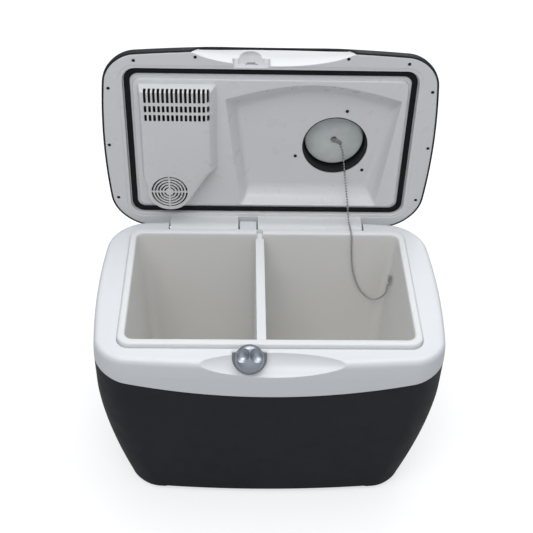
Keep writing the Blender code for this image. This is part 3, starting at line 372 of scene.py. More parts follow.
def latch_frame():
    """X along the front, Y up the plate, Z out along the latch's axis."""
    return Matrix.Translation(LATCH) @ Matrix.Rotation(math.pi / 2 - LATCH_LEAN, 4, "X")


def sector(inner, outer, start, end, steps):
    """(x, y) points of part of a ring, with angles in degrees from +X."""
    return arc(outer, start, end, steps) + arc(inner, end, start, steps)


def plate_outline(radius, top):
    """A D on its back: a half circle below, straight sides and a flat top."""
    return arc(radius, 180, 360, 64) + [(radius, top), (-radius, top)]


def rounded(points, radius, steps=6, corners=None):
    """Fillets the corners of a closed outline: those with the given numbers, or else every clear one."""
    done = []
    for i, here in enumerate(points):
        here = Vector(here)
        before = Vector(points[i - 1]) - here
        after = Vector(points[(i + 1) % len(points)]) - here
        turn = math.pi - before.angle(after)
        if i not in corners if corners else turn < math.radians(20):
            done.append(tuple(here))
            continue
        reach = min(radius * math.tan(turn / 2), 0.45 * before.length, 0.45 * after.length)
        first, last = here + before.normalized() * reach, here + after.normalized() * reach
        for k in range(steps + 1):
            t = k / steps
            done.append(tuple(first * (1 - t) ** 2 + here * 2 * t * (1 - t) + last * t * t))
    return done


def smooth_path(corners, steps):
    """Points on a Catmull-Rom curve through the corners, which may have any number of coordinates."""
    path = []
    for i in range(len(corners) - 1):
        p0, p1 = Vector(corners[max(i - 1, 0)]), Vector(corners[i])
        p2, p3 = Vector(corners[i + 1]), Vector(corners[min(i + 2, len(corners) - 1)])
        for k in range(steps):
            t = k / steps
            swing = (p2 - p0) * t + (2 * p0 - 5 * p1 + 4 * p2 - p3) * t * t
            swing += (3 * p1 - p0 - 3 * p2 + p3) * t ** 3
            path.append(p1 + 0.5 * swing)
    path.append(Vector(corners[-1]))
    return path


# Materials


def nodes_of(name):
    made = bpy.data.materials.new(name)
    made.use_nodes = True
    tree = made.node_tree
    return made, tree, tree.nodes["Principled BSDF"]


def noise(tree, coords, scale, detail, stretch=(1, 1, 1)):
    mapping = tree.nodes.new("ShaderNodeMapping")
    mapping.inputs["Scale"].default_value = stretch
    tree.links.new(coords.outputs["Object"], mapping.inputs["Vector"])
    made = tree.nodes.new("ShaderNodeTexNoise")
    made.inputs["Scale"].default_value = scale
    made.inputs["Detail"].default_value = detail
    tree.links.new(mapping.outputs["Vector"], made.inputs["Vector"])
    return made.outputs["Fac"]


def spread(tree, value, low, high, first=0.3, last=0.7):
    """Maps first to last onto low to high. Left out, they are the middle of a noise."""
    made = tree.nodes.new("ShaderNodeMapRange")
    made.inputs["From Min"].default_value = first
    made.inputs["From Max"].default_value = last
    made.inputs["To Min"].default_value = low
    made.inputs["To Max"].default_value = high
    tree.links.new(value, made.inputs["Value"])
    return made.outputs["Result"]


def mixed(tree, base, colour, factor):
    """A colour between base, which is a colour or a node's output, and another one."""
    made = tree.nodes.new("ShaderNodeMix")
    made.data_type = "RGBA"
    if isinstance(base, list):
        made.inputs["A"].default_value = (*base, 1.0)
    else:
        tree.links.new(base, made.inputs["A"])
    made.inputs["B"].default_value = (*colour, 1.0)
    tree.links.new(factor, made.inputs["Factor"])
    return made.outputs["Result"]


def finish(slot, colour, roughness, metallic=0.0, shift=0.04, grain=(900.0, 0.00002), stretch=(1, 1, 1),
           edge=0.0004, blotch=9.0, dust=None, uneven=0.13, shine=0.5, upper=None):
    """A material with large soft colour shifts, uneven gloss, a fine grain and worn-round edges.

    Dust is the colour of faint specks. Upper is the colour that takes over between two heights, so that what lies
    below them keeps the base colour as painted shade.
    """
    made, tree, shader = nodes_of(slot)
    coords = tree.nodes.new("ShaderNodeTexCoord")
    darker = [channel * (1 - shift) for channel in colour]
    lighter = [min(1.0, channel * (1 + shift)) for channel in colour]
    shade = mixed(tree, darker, lighter, spread(tree, noise(tree, coords, blotch, 4.0), 0.0, 1.0))
    # Painted shade: below the heights in upper the surface keeps the darker base colour, and above them the
    # lighter unshaded colour takes over
    if upper:
        low, high, unshaded_colour = upper
        split = tree.nodes.new("ShaderNodeSeparateXYZ")
        tree.links.new(coords.outputs["Object"], split.inputs["Vector"])
        shade = mixed(tree, shade, unshaded_colour, spread(tree, split.outputs["Z"], 0.0, 1.0, low, high))
    if dust:
        specks = spread(tree, noise(tree, coords, 160.0, 5.0), 0.0, 0.10)
        shade = mixed(tree, shade, dust, specks)
    tree.links.new(shade, shader.inputs["Base Color"])
    low, high = roughness * (1 - uneven), min(1.0, roughness * (1 + uneven))
    gloss = spread(tree, noise(tree, coords, 38.0, 5.0, stretch), low, high)
    tree.links.new(gloss, shader.inputs["Roughness"])
    shader.inputs["Metallic"].default_value = metallic
    shader.inputs["Specular IOR Level"].default_value = shine
    bump = tree.nodes.new("ShaderNodeBump")
    bump.inputs["Strength"].default_value = 1.0
    bump.inputs["Distance"].default_value = grain[1]
    tree.links.new(noise(tree, coords, grain[0], 2.0, stretch), bump.inputs["Height"])
    if edge:
        bevel = tree.nodes.new("ShaderNodeBevel")
        bevel.samples = 4
        bevel.inputs["Radius"].default_value = edge
        tree.links.new(bevel.outputs["Normal"], bump.inputs["Normal"])
    tree.links.new(bump.outputs["Normal"], shader.inputs["Normal"])
    MATERIALS[slot] = made


finish("charcoal", (0.025, 0.0262, 0.0305), 0.48, grain=(1500.0, 0.00006), shift=0.06, edge=0.0006,
       shine=0.13)
finish("white", (0.78, 0.80, 0.82), 0.30, grain=(700.0, 0.00001), shift=0.004, edge=0.0007, uneven=0.04)
# The liner's walls below the rim are painted a little darker and warmer than the rim, as painted shade inside the
# box
finish("liner", (0.79, 0.78, 0.755), 0.38, grain=(900.0, 0.00001), shift=0.006, edge=0, uneven=0.05,
       upper=(RIM_Z - 0.012, RIM_Z - 0.003, (0.80, 0.81, 0.82)))
finish("panel", (0.77, 0.78, 0.79), 0.28, grain=(500.0, 0.000004), shift=0.003, edge=0, uneven=0.03)
finish("foam", (0.78, 0.72, 0.50), 0.95, grain=(420.0, 0.0006), shift=0.08, blotch=40.0, edge=0)
finish("rubber", (0.006, 0.007, 0.009), 0.60, grain=(1100.0, 0.00008), shift=0.15,
       dust=(0.02, 0.02, 0.021), shine=0.2)
finish("dark", (0.012, 0.013, 0.016), 0.45, grain=(1300.0, 0.00005), shift=0.08, shine=0.3)
finish("chrome", (0.44, 0.48, 0.53), 0.36, metallic=1.0, grain=(220.0, 0.00002), shift=0.05, edge=0.0005)
finish("satin_metal", (0.27, 0.28, 0.30), 0.36, metallic=1.0, grain=(900.0, 0.00004), stretch=(1, 12, 12))
finish("steel", (0.40, 0.40, 0.41), 0.22, metallic=1.0, grain=(1200.0, 0.00003), shift=0.08, edge=0.0002)
finish("aluminium", (0.030, 0.031, 0.034), 0.50, metallic=0.6, grain=(700.0, 0.00004), stretch=(14, 1, 1))
finish("module", (0.85, 0.85, 0.82), 0.55, grain=(900.0, 0.00002), shift=0.03)
finish("board", (0.02, 0.16, 0.06), 0.42, grain=(260.0, 0.0001), shift=0.25, blotch=120.0)
finish("plug", (0.66, 0.70, 0.70), 0.45, grain=(600.0, 0.00008), shift=0.08, blotch=36.0)

for subpart in frame["record"]["subparts"]:
    node = NODES[subpart["node"]]
    node.data.materials.clear()
    node.data.materials.append(MATERIALS[subpart["material_slot"]])


# Tub


def make_tub_shell():
    """A tapered shell that stands on two skids, with a rubber foot under each corner."""
    round_x, round_z = 0.013, 0.012
    foot_x, foot_y = 0.215, 0.135
    low, high, steps = SHELL_FOOT_Z + round_z, 0.262, 22
    rings = []
    for i in range(7):
        t = math.pi / 2 * i / 6
        z = SHELL_FOOT_Z + round_z * (1 - math.cos(t))
        rings.append(level(tub_outline(low, round_x * (1 - math.sin(t))), z))
    heights = [low + (high - low) * i / steps for i in range(1, steps + 1)]
    rings += [level(tub_outline(z), z) for z in heights]
    for inset, drop in ((0.0, 0.0014), (0.0003, 0.0006), (0.0009, 0.0003), (WALL, 0.0003)):
        rings.append(seam(tub_outline(TAPER_FROM_Z, inset), drop))
    rings += [level(tub_outline(z, WALL), z) for z in heights[::-2]]
    rings.append(level(tub_outline(0.032, WALL + 0.004), UNDERSIDE_Z + 0.0035))
    shell = loft("tub_shell", rings)
    arch = [(-SKID_HALF_GAP - 0.006, -0.03), (SKID_HALF_GAP + 0.006, -0.03)]
    arch += [(SKID_HALF_GAP - 0.003, UNDERSIDE_Z), (-SKID_HALF_GAP + 0.003, UNDERSIDE_Z)]
    lay = Matrix.Rotation(math.pi / 2, 4, "X")
    cut(shell, prism("cut_arch", rounded(arch, 0.006), -0.3, 0.3, turn=lay))
    for x in (-foot_x, foot_x):
        for y in (-foot_y, foot_y):
            side = ("left" if x < 0 else "right") + ("_front" if y < 0 else "_rear")
            cut(shell, bore("cut_well_" + side, (x, y), 0.0113, -0.01, 0.0066, 48))
            profile = [(AXIS, 0.0), (0.0085, 0.0), (0.0102, 0.0004), (0.0110, 0.0016), (0.0110, 0.0063)]
            pad = turned("foot_" + side, [*profile, (AXIS, 0.0063)], (x, y), 48)
            settle(pad, "tub", "rubber", "foot_pad_" + side)
    settle(shell, "tub", "charcoal", "outer_shell")


def scoop(name, grow=0.0):
    """The hand hold in the front of the collar."""
    return ellipsoid(name, (0.003, -0.200, RIM_Z + 0.004), (0.142 + grow, 0.042 + grow, 0.041 + grow))


def make_collar():
    outer = smooth_path(
        ((0.0, 0.318), (0.0015, 0.341), (0.0035, 0.3480), (0.0070, 0.3517), (0.0120, TOP_Z)), 5
    )
    rings = [seam(collar_outline(0.0012), -0.0003), seam(collar_outline(0.0003), -0.0006)]
    rings.append(seam(collar_outline(0.0), -0.0014))
    rings += stack(collar_outline, 0, outer)
    edge = square(LIP_X + 0.0006, LIP_Y + 0.0006, 0.022)
    rings.append(level(square(LIP_X + 0.0016, LIP_Y + 0.0016, 0.023), TOP_Z))
    rings += [level(edge, TOP_Z - 0.0010), level(edge, TOP_Z - 0.0042)]
    rings += stack(collar_outline, 0, ((0.0120, TOP_Z - 0.0038), (0.0065, 0.345), (0.0035, 0.320)))
    rings.append(seam(collar_outline(WALL), -0.0003))
    collar = loft("tub_collar", rings, closed=True)

    solid = stack(collar_outline, 0, ((0.0015, 0.300), (0.0025, 0.341), (0.0080, TOP_Z - 0.002)))
    bulge = scoop("fill_scoop", 0.0035)
    combine(bulge, loft("trim_scoop_fill", solid), "INTERSECT")
    low, high = KNUCKLES[0][0] - KNUCKLE_GAP, KNUCKLES[1][1] + KNUCKLE_GAP
    notch_low, notch_front = HINGE.z - 0.020, HINGE.y - 0.0190
    trough_high = (high + 0.012, BEHIND_Y, TOP_Z - 0.001)
    trough = box("fill_hinge", (low - 0.012, notch_front - WALL, notch_low - WALL), trough_high)
    combine(trough, loft("trim_hinge_fill", solid), "INTERSECT")
    turn = latch_frame()
    seat = plate_outline(PLATE_RADIUS + 0.0006, PLATE_TOP)
    boss = prism("fill_latch", seat, -0.0135, -0.0025, turn=turn)
    join(collar, bulge, trough)
    cut(collar, scoop("cut_scoop"))
    join(collar, boss)
    for n, (start, end) in enumerate(KNUCKLES):
        low_corner = (start - KNUCKLE_GAP, notch_front, notch_low)
        cut(collar, box(f"cut_knuckle_{n}", low_corner, (end + KNUCKLE_GAP, BEHIND_Y, RIM_Z + 0.01)))
    lug_start, lug_end = KNUCKLES[0][1] + 0.002, KNUCKLES[1][0] - 0.002
    lug_back = HINGE.y + BARREL_RADIUS
    cut(
        collar, box("cut_lug_back", (lug_start, lug_back, notch_low), (lug_end, BEHIND_Y, RIM_Z)),
        hinge_rod("cut_rod_bore", low - 0.0095, high + 0.0095, 0.0035, 32),
        prism("cut_plate_seat", plate_outline(PLATE_RADIUS + 0.0007, 0.040), -0.0036, 0.040, turn=turn),
        turned("cut_cam_room", ((0.0240, -0.0084), (0.0240, 0.001)), turn=turn),
        turned("cut_spindle", ((0.0062, -0.030), (0.0062, 0.001)), sides=32, turn=turn),
    )
    settle(collar, "tub", "white", "collar_frame")


def make_liner():
    """The box and the flat rim around its mouth, with guides and a notch for the divider."""

    def mouth(inset, corner):
        return square(MOUTH_X - inset, MOUTH_Y - inset * 0.85, corner)

    rings = [level(mouth(0.034, 0.020), FLOOR_Z)]
    for i in range(1, 8):
        t = math.pi / 2 * i / 7
        inset, rise = 0.0345 - 0.0145 * math.sin(t), 0.0125 * (1 - math.cos(t))
        rings.append(level(mouth(inset, 0.020), FLOOR_Z + rise))
    for i in range(1, 9):
        share = i / 8
        outline = mouth(0.0010 + 0.019 * (1 - share), 0.020 - 0.006 * share)
        rings.append(level(outline, 0.0575 + 0.2905 * share))
    rings.append(level(mouth(0.0002, 0.014), 0.3560))
    for grow, drop in ((0.0004, 0.0026), (0.0011, 0.0012), (0.0024, 0.0003), (0.0042, 0.0)):
        rings.append(level(square(MOUTH_X + grow, MOUTH_Y + grow, 0.0145 + grow / 2), RIM_Z - drop))
    for inset, drop in ((0.0042, 0.0), (0.0022, 0.0004), (0.0009, 0.0016), (0.0, 0.0036), (0.0, 0.0128)):
        rings.append(level(square(LIP_X - inset, LIP_Y - inset, 0.022 - inset / 2), RIM_Z - drop))
    lip, neck = (LIP_X + 0.0040, LIP_Y + 0.0040, 0.024), (MOUTH_X + 0.0030, MOUTH_Y + 0.0030, 0.0165)
    rings += stack(square, 0, ((*lip, 0.3482), (*lip, 0.3458), (*neck, 0.3458)))
    outside = ((0.0165, 0.014, 0.008), (0.021, 0.014, -0.0025), (0.031, 0.014, -0.0030))
    rings += stack(mouth, FLOOR_Z, outside)
    liner = loft("liner", rings)
    for n, (x, side) in enumerate(((-0.0052, -1), (0.0052, -1), (-0.0052, 1), (0.0052, 1))):
        near, far = MOUTH_Y - 0.0035, MOUTH_Y + 0.0015
        foot_z = FLOOR_Z + 0.012
        profile = ((near, 0.340), (far, 0.340), (far - 0.016, foot_z), (near - 0.016, foot_z))
        sides = [[(DIVIDER_X + x + dx, side * y, z) for y, z in profile] for dx in (-0.001, 0.001)]
        join(liner, loft(f"fill_guide_{n}", sides))
    notch_low = (DIVIDER_X - 0.0060, MOUTH_Y - 0.005, DIVIDER_TOP_Z - 0.0026)
    cut(liner, box("cut_tab_notch", notch_low, (DIVIDER_X + 0.0060, LIP_Y - 0.004, RIM_Z + 0.01)))
    settle(liner, "tub", "liner", "inner_liner")


def make_divider():
    x = DIVIDER_X
    bar_high = (x + 0.008, MOUTH_Y - 0.0070, DIVIDER_TOP_Z)
    bar = box("divider_wall", (x - 0.008, -MOUTH_Y + 0.0012, 0.3450), bar_high)
    soften(bar, 0.0014)
    tab_low = (x - 0.0045, MOUTH_Y - 0.010, DIVIDER_TOP_Z - 0.0022)
    tab = box("fill_tab", tab_low, (x + 0.0045, LIP_Y - 0.0055, DIVIDER_TOP_Z - 0.0002))
    top, foot = MOUTH_Y - 0.0030, MOUTH_Y - 0.0215
    outline = ((-foot, FLOOR_Z + 0.006), (foot, FLOOR_Z + 0.006), (top, 0.347), (-top, 0.347))
    place = Matrix.Translation((x, 0, 0)) @ ALONG_X
    leaf = prism("fill_leaf", outline, -0.003, 0.003, turn=place)
    join(bar, soften(tab, 0.0006), soften(leaf, 0.0008))
    inner = [(y * 0.983, z) for y, z in outline]
    join(bar, soften(prism("fill_panel", inner, -0.0068, 0.0068, turn=place), 0.0010))
    louvre = ((-0.02, -0.0036), (0.02, -0.0036), (0.02, 0.0036), (-0.02, 0.0036))
    for row in range(9):
        lean = Matrix.Translation((x, 0, 0.088 + row * 0.027)) @ Matrix.Rotation(math.radians(28), 4, "Y")
        for side in (-1, 1):
            near, far = sorted((side * 0.010, side * 0.098))
            cut(bar, prism(f"cut_louvre_{row}_{side + 1}", louvre, near, far, turn=lean @ ALONG_Y))
    settle(bar, "divider", "white", "divider")


def make_latch():
    turn = latch_frame()
    outline = rounded(plate_outline(PLATE_RADIUS, PLATE_TOP), 0.003)
    plate = soften(prism("latch_face", outline, -0.0030, 0.0, turn=turn), 0.0008)
    settle(plate, "tub", "satin_metal", "latch_plate")

    grip = ((0.0003, 0.0130), (0.0110, 0.0128), (0.0180, 0.0119), (0.0208, 0.0107), (0.0224, 0.0090))
    grip = smooth_path((*grip, (0.0233, 0.0068), (KNOB_RADIUS, 0.0040)), 4)
    foot = ((KNOB_RADIUS, 0.0012), (KNOB_RADIUS - 0.0005, 0.0005), (0.0040, 0.0005), (0.0040, -0.0090))
    knob = turned("turn_knob", [*grip, *foot, (0.0003, -0.0090)], turn=turn)
    for side in (-1, 1):
        dish = ellipsoid(f"cut_dish_{side + 1}", (side * 0.0142, 0.0060, 0.0152), (0.0124, 0.0138, 0.0088))
        dish.data.transform(turn @ Matrix.Rotation(math.radians(side * 14), 4, "Z"))
        cut(knob, dish)
    settle(knob, "latch", "chrome", "latch_knob", sharp=28)


# Lid, built closed


def dome_outline(share):
    """A ring of the lid's crown: its corners get rounder towards the middle."""
    widest = 0.85 * HALF_Y
    front = share * (FRONT_CORNER + (widest - FRONT_CORNER) * (1 - share))
    rear = share * (REAR_CORNER + (widest - REAR_CORNER) * (1 - share))
    return bent(LID_HALF_X * share, HALF_Y * share, front, rear, bow=BOW * share)


def lid_scoop(name, grow=0.0):
    """The hand hold in the front of the lid."""
    return ellipsoid(name, (0.003, -0.203, RIM_Z - 0.011), (0.156 + grow, 0.044 + grow, 0.040 + grow))


def lid_room(name, inset):
    """The space inside the lid's outer cover, which trims what is moulded onto the panel."""
    start = SHELL_INSET + inset
    rows = ((start, inset), (start, 0.0105), (start + 0.0055, 0.0200 - inset))
    rows += ((start + 0.0105, 0.0288 - inset), (start + 0.0270, 0.0385 - inset))
    return loft(name, stack(lid_outline, FLANGE_Z, rows))


def pocket_outline(left_front, right_front, left_rear, right_rear, front, sag, rear, grow):
    """(x, y) points: a straight rear, sides that close in towards it, and a front that bows by sag."""
    steps = 40
    left_front, right_front, front = left_front - grow, right_front + grow, front - grow
    points = [(left_rear - grow, rear + grow), (right_rear + grow, rear + grow)]
    for i in range(steps + 1):
        share = i / steps
        x = right_front + (left_front - right_front) * share
        points.append((x, front - sag * math.sin(math.pi * share)))
    return rounded(points, 0.006, corners=(0, 1, 2, len(points) - 1))


def pocket(name, grow=0.0, lip=0.0):
    """The recess around the hatch. Its walls lean in, and a lip rounds off its mouth."""
    shapes = smooth_path(
        (
            (-0.079, 0.230, -0.051, 0.202, -0.093, 0.030, 0.129, FLANGE_Z + 0.001),
            (-0.073, 0.229, -0.047, 0.199, -0.087, 0.030, 0.1265, FLANGE_Z + 0.008),
            (-0.066, 0.227, -0.043, 0.195, -0.078, 0.031, 0.121, FLANGE_Z + 0.0165),
            (-0.0605, 0.2225, -0.0385, 0.187, -0.069, 0.032, 0.109, FLANGE_Z + 0.0245),
            (-0.054, 0.217, -0.033, 0.179, -0.062, 0.032, 0.098, POCKET_Z + grow),
        ),
        5,
    )
    first = shapes[0][:7]
    start = 0.0005 if grow else -0.004
    rings = [level(pocket_outline(*first, grow + lip), FLANGE_Z + start)]
    if lip:
        for share in (1.0, 0.55, 0.25, 0.08):
            outline = pocket_outline(*first, grow + lip * share)
            rings.append(level(outline, FLANGE_Z + lip * (1 - share) ** 2))
    for *shape, z in shapes:
        if z > FLANGE_Z + lip:
            rings.append(level(pocket_outline(*shape, grow), z))
    return loft(name, rings)


def make_panel():
    """The white moulding inside the lid, with a groove for the seal, the hatch's recess and the barrels.

    Rows of square() are half sizes, corner and rise. The underside comes first, the back last.
    """
    plateau = (
        (0.2362, 0.1302, 0.0140, 0.0), (0.2378, 0.1318, 0.0145, 0.0003), (0.2387, 0.1327, 0.0150, 0.0009),
        (0.2392, 0.1332, 0.0150, 0.0020), (0.2400, 0.1340, 0.0160, 0.0085),
    )
    flange = (
        (0.2556, 0.1511, 0.0230, 0.0085), (0.2566, 0.1521, 0.0240, 0.0019), (0.2572, 0.1527, 0.0243, 0.0012),
        (0.2580, 0.1535, 0.0247, 0.0009), (0.2618, 0.1573, 0.0270, 0.0009), (0.2624, 0.1579, 0.0273, 0.0007),
        (0.2631, 0.1586, 0.0277, 0.0002), (0.2642, 0.1597, 0.0283, 0.0),
    )
    edge = (
        (0.0020, 0.0), (0.0008, 0.0004), (0.0002, 0.0011), (0.0, 0.0022), (0.0, 0.0100), (0.0025, 0.0100),
        (0.0030, 0.0034),
    )
    edge = [(SHELL_INSET + inset, rise) for inset, rise in edge]
    back = (
        (0.2650, 0.1605, 0.0283, 0.0034), (0.2585, 0.1540, 0.0240, 0.0113), (0.2370, 0.1310, 0.0140, 0.0113),
        (0.2360, 0.1300, 0.0140, 0.0030),
    )
    rings = stack(square, FLANGE_Z, plateau + flange) + stack(lid_outline, FLANGE_Z, edge)
    panel = loft("lid_inner", rings + stack(square, FLANGE_Z, back))
    turn = latch_frame()
    front_fill = lid_scoop("fill_lid_scoop", 0.003)
    join(front_fill, turned("fill_latch_hood", ((HOOD_RADIUS, -0.0118), (HOOD_RADIUS, 0.0200)), turn=turn))
    combine(front_fill, lid_room("trim_scoop_room", 0.0010), "INTERSECT")
    join(panel, pocket("fill_recess", 0.003), front_fill)
    for n, (start, end) in enumerate(KNUCKLES):
        low = (start, HINGE.y - BARREL_RADIUS, HINGE.z)
        neck = box(f"fill_neck_{n}", low, (end, HINGE.y + 0.0050, FLANGE_Z + 0.002))
        join(panel, hinge_rod(f"fill_barrel_{n}", start, end, BARREL_RADIUS, 64), neck)
    low, high = closed_box("cold_heatsink")
    gap = 0.0015
    cut(
        panel, hinge_rod("cut_lid_bore", KNUCKLES[0][0] - 0.01, KNUCKLES[1][1] + 0.01, 0.0034, 32),
        lid_scoop("cut_lid_scoop"), pocket("cut_recess", lip=0.0016),
        bore("cut_hatch", HATCH, HATCH_SEAT_RADIUS, 0.36, 0.40),
        box("cut_sink", (low.x - gap, low.y - gap, 0.35), (high.x + gap, high.y + gap, 0.37)),
    )
    make_latch_pocket(panel, turn)
    sink = ((0.0036, -0.002), (0.0036, 0.0001), (0.0030, 0.0008), (0.0030, 0.0017))
    sink = [(radius, FLANGE_Z + rise) for radius, rise in sink]
    for n in range(1, 11):
        middle = closed_middle(f"lid_screw_{n}")
        cut(panel, turned(f"cut_lid_screw_{n}", sink, middle, 32))
        make_screw(f"flange_screw_{n}", middle, FLANGE_Z + 0.0002, 0.0027, "lid", "dark", f"lid_screw_{n}")
    for n in range(1, 4):
        node = f"hatch_screw_{n}"
        face_z = closed_box(node)[0].z
        make_screw(f"recess_screw_{n}", closed_middle(node), face_z, 0.0030, "lid", "dark", node)
    settle(panel, "lid", "panel", "lid_panel")


def make_latch_pocket(panel, turn):
    """The arch that is moulded onto the panel over the latch, its thin rim and the room for the knob."""
    rib = HOOD_RADIUS + 0.0002
    arch = turned("fill_latch_arch", ((rib, -0.0120), (rib, 0.0010)), turn=turn)
    join(arch, box("fill_latch_feet", (-0.0318, -0.020, -0.0175), (0.0318, 0.0130, 0.0008), turn=turn))
    combine(arch, lid_room("trim_arch_room", 0.0014), "INTERSECT")
    join(panel, arch)

    def hollow(name, grow):
        """A bore along the latch's axis that closes over the knob like a dome."""
        profile = [(rib - 0.0028 + 2 * grow, -0.0095), (rib - 0.0030 + 2 * grow, 0.0065)]
        crown = ((0.0238, 0.0085), (0.0222, 0.0112), (0.0180, 0.0136), (0.0100, 0.0146), (0.0003, 0.0150))
        for radius, z in smooth_path(crown, 4):
            profile.append((radius + (grow if radius > 0.001 else 0), z))
        return turned(name, profile, turn=turn)

    rim = hollow("fill_latch_rim", 0.0024)
    combine(rim, lid_scoop("trim_latch_rim", 0.0004), "INTERSECT")
    cut(rim, lid_scoop("cut_latch_rim", -0.0014))
    join(panel, rim)
    plate_room = box("cut_plate_room", (-0.0298, -0.030, -0.0145), (0.0298, 0.0108, 0.006), turn=turn)
    cut(panel, hollow("cut_latch_pocket", 0.0), plate_room)


def make_screw(name, centre, face_z, radius, body, slot, node):
    """A pan head that faces down, with a cross recess, on a short shaft."""
    profile = (
        (0.0002, 0.0), (radius * 0.55, 0.0), (radius * 0.85, 0.0001), (radius, 0.0005), (radius, 0.0011),
        (0.0013, 0.0012), (0.0013, 0.0052),
    )
    screw = turned(name, [(reach, face_z + rise) for reach, rise in profile], centre, 32)
    x, y = centre[:2]
    for n, (wide, long) in enumerate(((0.0004, radius * 0.62), (radius * 0.62, 0.0004))):
        low, high = (x - wide, y - long, face_z - 0.001), (x + wide, y + long, face_z + 0.0006)
        cut(screw, box(f"cut_{name}_{n}", low, high))
    settle(screw, body, slot, node)


def make_lid_shell():
    def crown(drop):
        return stack(dome_outline, FLANGE_Z - drop, smooth_path(DOME, 3))

    edge = smooth_path(((0.0055, 0.0225), (0.0014, 0.0155), (0.0, 0.0100)), 4)
    inside = SHELL_INSET - 0.0003
    edge += ((0.0, 0.0012), (0.0006, 0.0006), (inside, 0.0006), (inside, 0.0115), (0.0082, 0.0205))
    shell = loft("lid_cover", crown(0.0) + stack(lid_outline, FLANGE_Z, edge) + crown(DOME_SKIN)[::-1])

    def seat(name, centre, radius, low, high):
        round_off = 0.0012
        shoulder = (radius - round_off * 0.3, high - round_off * 0.3)
        profile = ((radius, low), (radius, high - round_off), shoulder, (radius - round_off, high))
        return turned(name, profile, centre)

    pad = soften(box("fill_control_pad", (-0.2700, -0.0330, 0.3800), (-0.2350, 0.0430, 0.4005)), 0.0015)
    join(shell, seat("fill_hatch_seat", HATCH, 0.0670, 0.3960, 0.4262))
    join(shell, seat("fill_vent_seat", HOT_FAN, 0.0580, 0.3980, 0.4232), pad)
    low, high = closed_box("rocker_switch")
    cut(
        shell, bore("cut_hatch_seat", HATCH, HATCH_SEAT_RADIUS, 0.38, 0.44),
        bore("cut_vent_seat", HOT_FAN, 0.0525, 0.38, 0.44), lid_scoop("cut_shell_scoop", 0.0006),
        box("cut_switch", (low.x - 0.0005, low.y - 0.0018, 0.37), (high.x + 0.0005, high.y + 0.0018, 0.41)),
        bore("cut_socket", SOCKET, 0.0083, 0.37, 0.41, 48),
        box("cut_pad_face", (-0.2690, -0.0320, 0.3990), (-0.2360, 0.0420, 0.4200)),
        box("cut_pad_room", (-0.2672, -0.0300, 0.3700), (-0.2378, 0.0400, 0.3960)),
    )
    settle(shell, "lid", "charcoal", "lid_shell")


def make_seal():
    """A soft band with rounded corners and a shallow groove along its middle."""
    rings = []
    low, high = closed_box("lid_seal")
    profile = [(0.0, high.z), (0.0, low.z + 0.0016), (0.0003, low.z + 0.0006), (0.0012, low.z)]
    profile += [(0.0026, low.z + 0.0001), (0.0038, low.z + 0.0006)]
    for inset, z in profile:
        rings.append(level(square(0.2542 - inset, 0.1498 - inset, 0.0225 - inset / 2), z))
    for inset, z in reversed(profile):
        rings.append(level(square(0.2440 + inset, 0.1404 + inset, 0.0155 + inset / 2), z))
    settle(loft("seal_band", rings, closed=True), "lid", "rubber", "lid_seal")


# Fan cover


def cover_outline(grow):
    """The fan cover from inside the box: a rectangle with a chamfered corner and a round end at the fan."""
    left, right, front = -0.2265 - grow, -0.1040 + grow * 2.4, -0.1225 - grow * 0.4
    radius = 0.0410 + grow * 0.6
    points = [(left, front), (right, front), (right, 0.0420 + grow)]
    first = math.degrees(math.atan2(0.104 - FAN_HUB.y, -0.143 - FAN_HUB.x)) - 4
    points += arc(radius, first, 196, 32, FAN_HUB.x, FAN_HUB.y)
    points.append((left, 0.055))
    return rounded(points, 0.005, corners=(0, 1, 2))


def make_fan_cover():
    profile = smooth_path(((-0.0060, 0.0), (-0.0035, 0.0002), (-0.0012, 0.0014), (0.0, 0.0050)), 4)
    rings = stack(cover_outline, COVER_Z, profile)
    rings += stack(cover_outline, FLANGE_Z, ((0.0040, -0.0003), (0.0020, -0.0003)))
    rings += stack(cover_outline, COVER_Z, ((-0.0020, 0.0060), (-0.0050, 0.0024)))
    cover = loft("cooling_cover", rings)
    slots = bmesh.new()
    columns, pitch, width = 15, 0.00775, 0.0046
    shallow, deep = 0.004, 0.012
    rows = ((-0.1300, -0.1003, deep), (-0.0953, -0.0820, shallow), (-0.0778, -0.0645, shallow))
    for column in range(columns):
        x = -0.2190 + column * pitch
        for front, rear, depth in rows:
            if column > columns - 3:
                depth = deep
            outline = rounded(((x, front), (x + width, front), (x + width, rear), (x, rear)), 0.0012, 4)
            rings = [level(outline, z) for z in (COVER_Z - 0.010, COVER_Z + depth)]
            skin(slots, [[slots.verts.new(point) for point in ring] for ring in rings])
    low, high = COVER_Z - 0.005, COVER_Z + 0.006
    grille = grille_slots("cut_cover_grille", FAN_HUB, low, high, 0.0075, 0.0056, 0.0031, 5)
    cut(cover, add("cut_cover_slots", slots), grille)
    settle(cover, "lid", "panel", "fan_cover")


def make_cold_sink():
    """Dark fins on a base plate that spreads behind the whole cover."""
    low, high = closed_box("cold_heatsink")
    plate_low = (low.x - 0.0115, low.y - 0.0470, FLANGE_Z - 0.0016)
    sink = box("cold_sink", plate_low, (high.x + 0.0115, high.y, FLANGE_Z - 0.0004))
    join(sink, box("fill_sink_base", (low.x, low.y, high.z - 0.0050), high))
    fins, thick = 14, 0.0012
    for fin in range(fins):
        x = low.x + (high.x - low.x - thick) * fin / (fins - 1)
        join(sink, box(f"fill_fin_{fin}", (x, low.y, low.z), (x + thick, high.y, high.z - 0.0030)))
    settle(sink, "lid", "aluminium", "cold_heatsink")


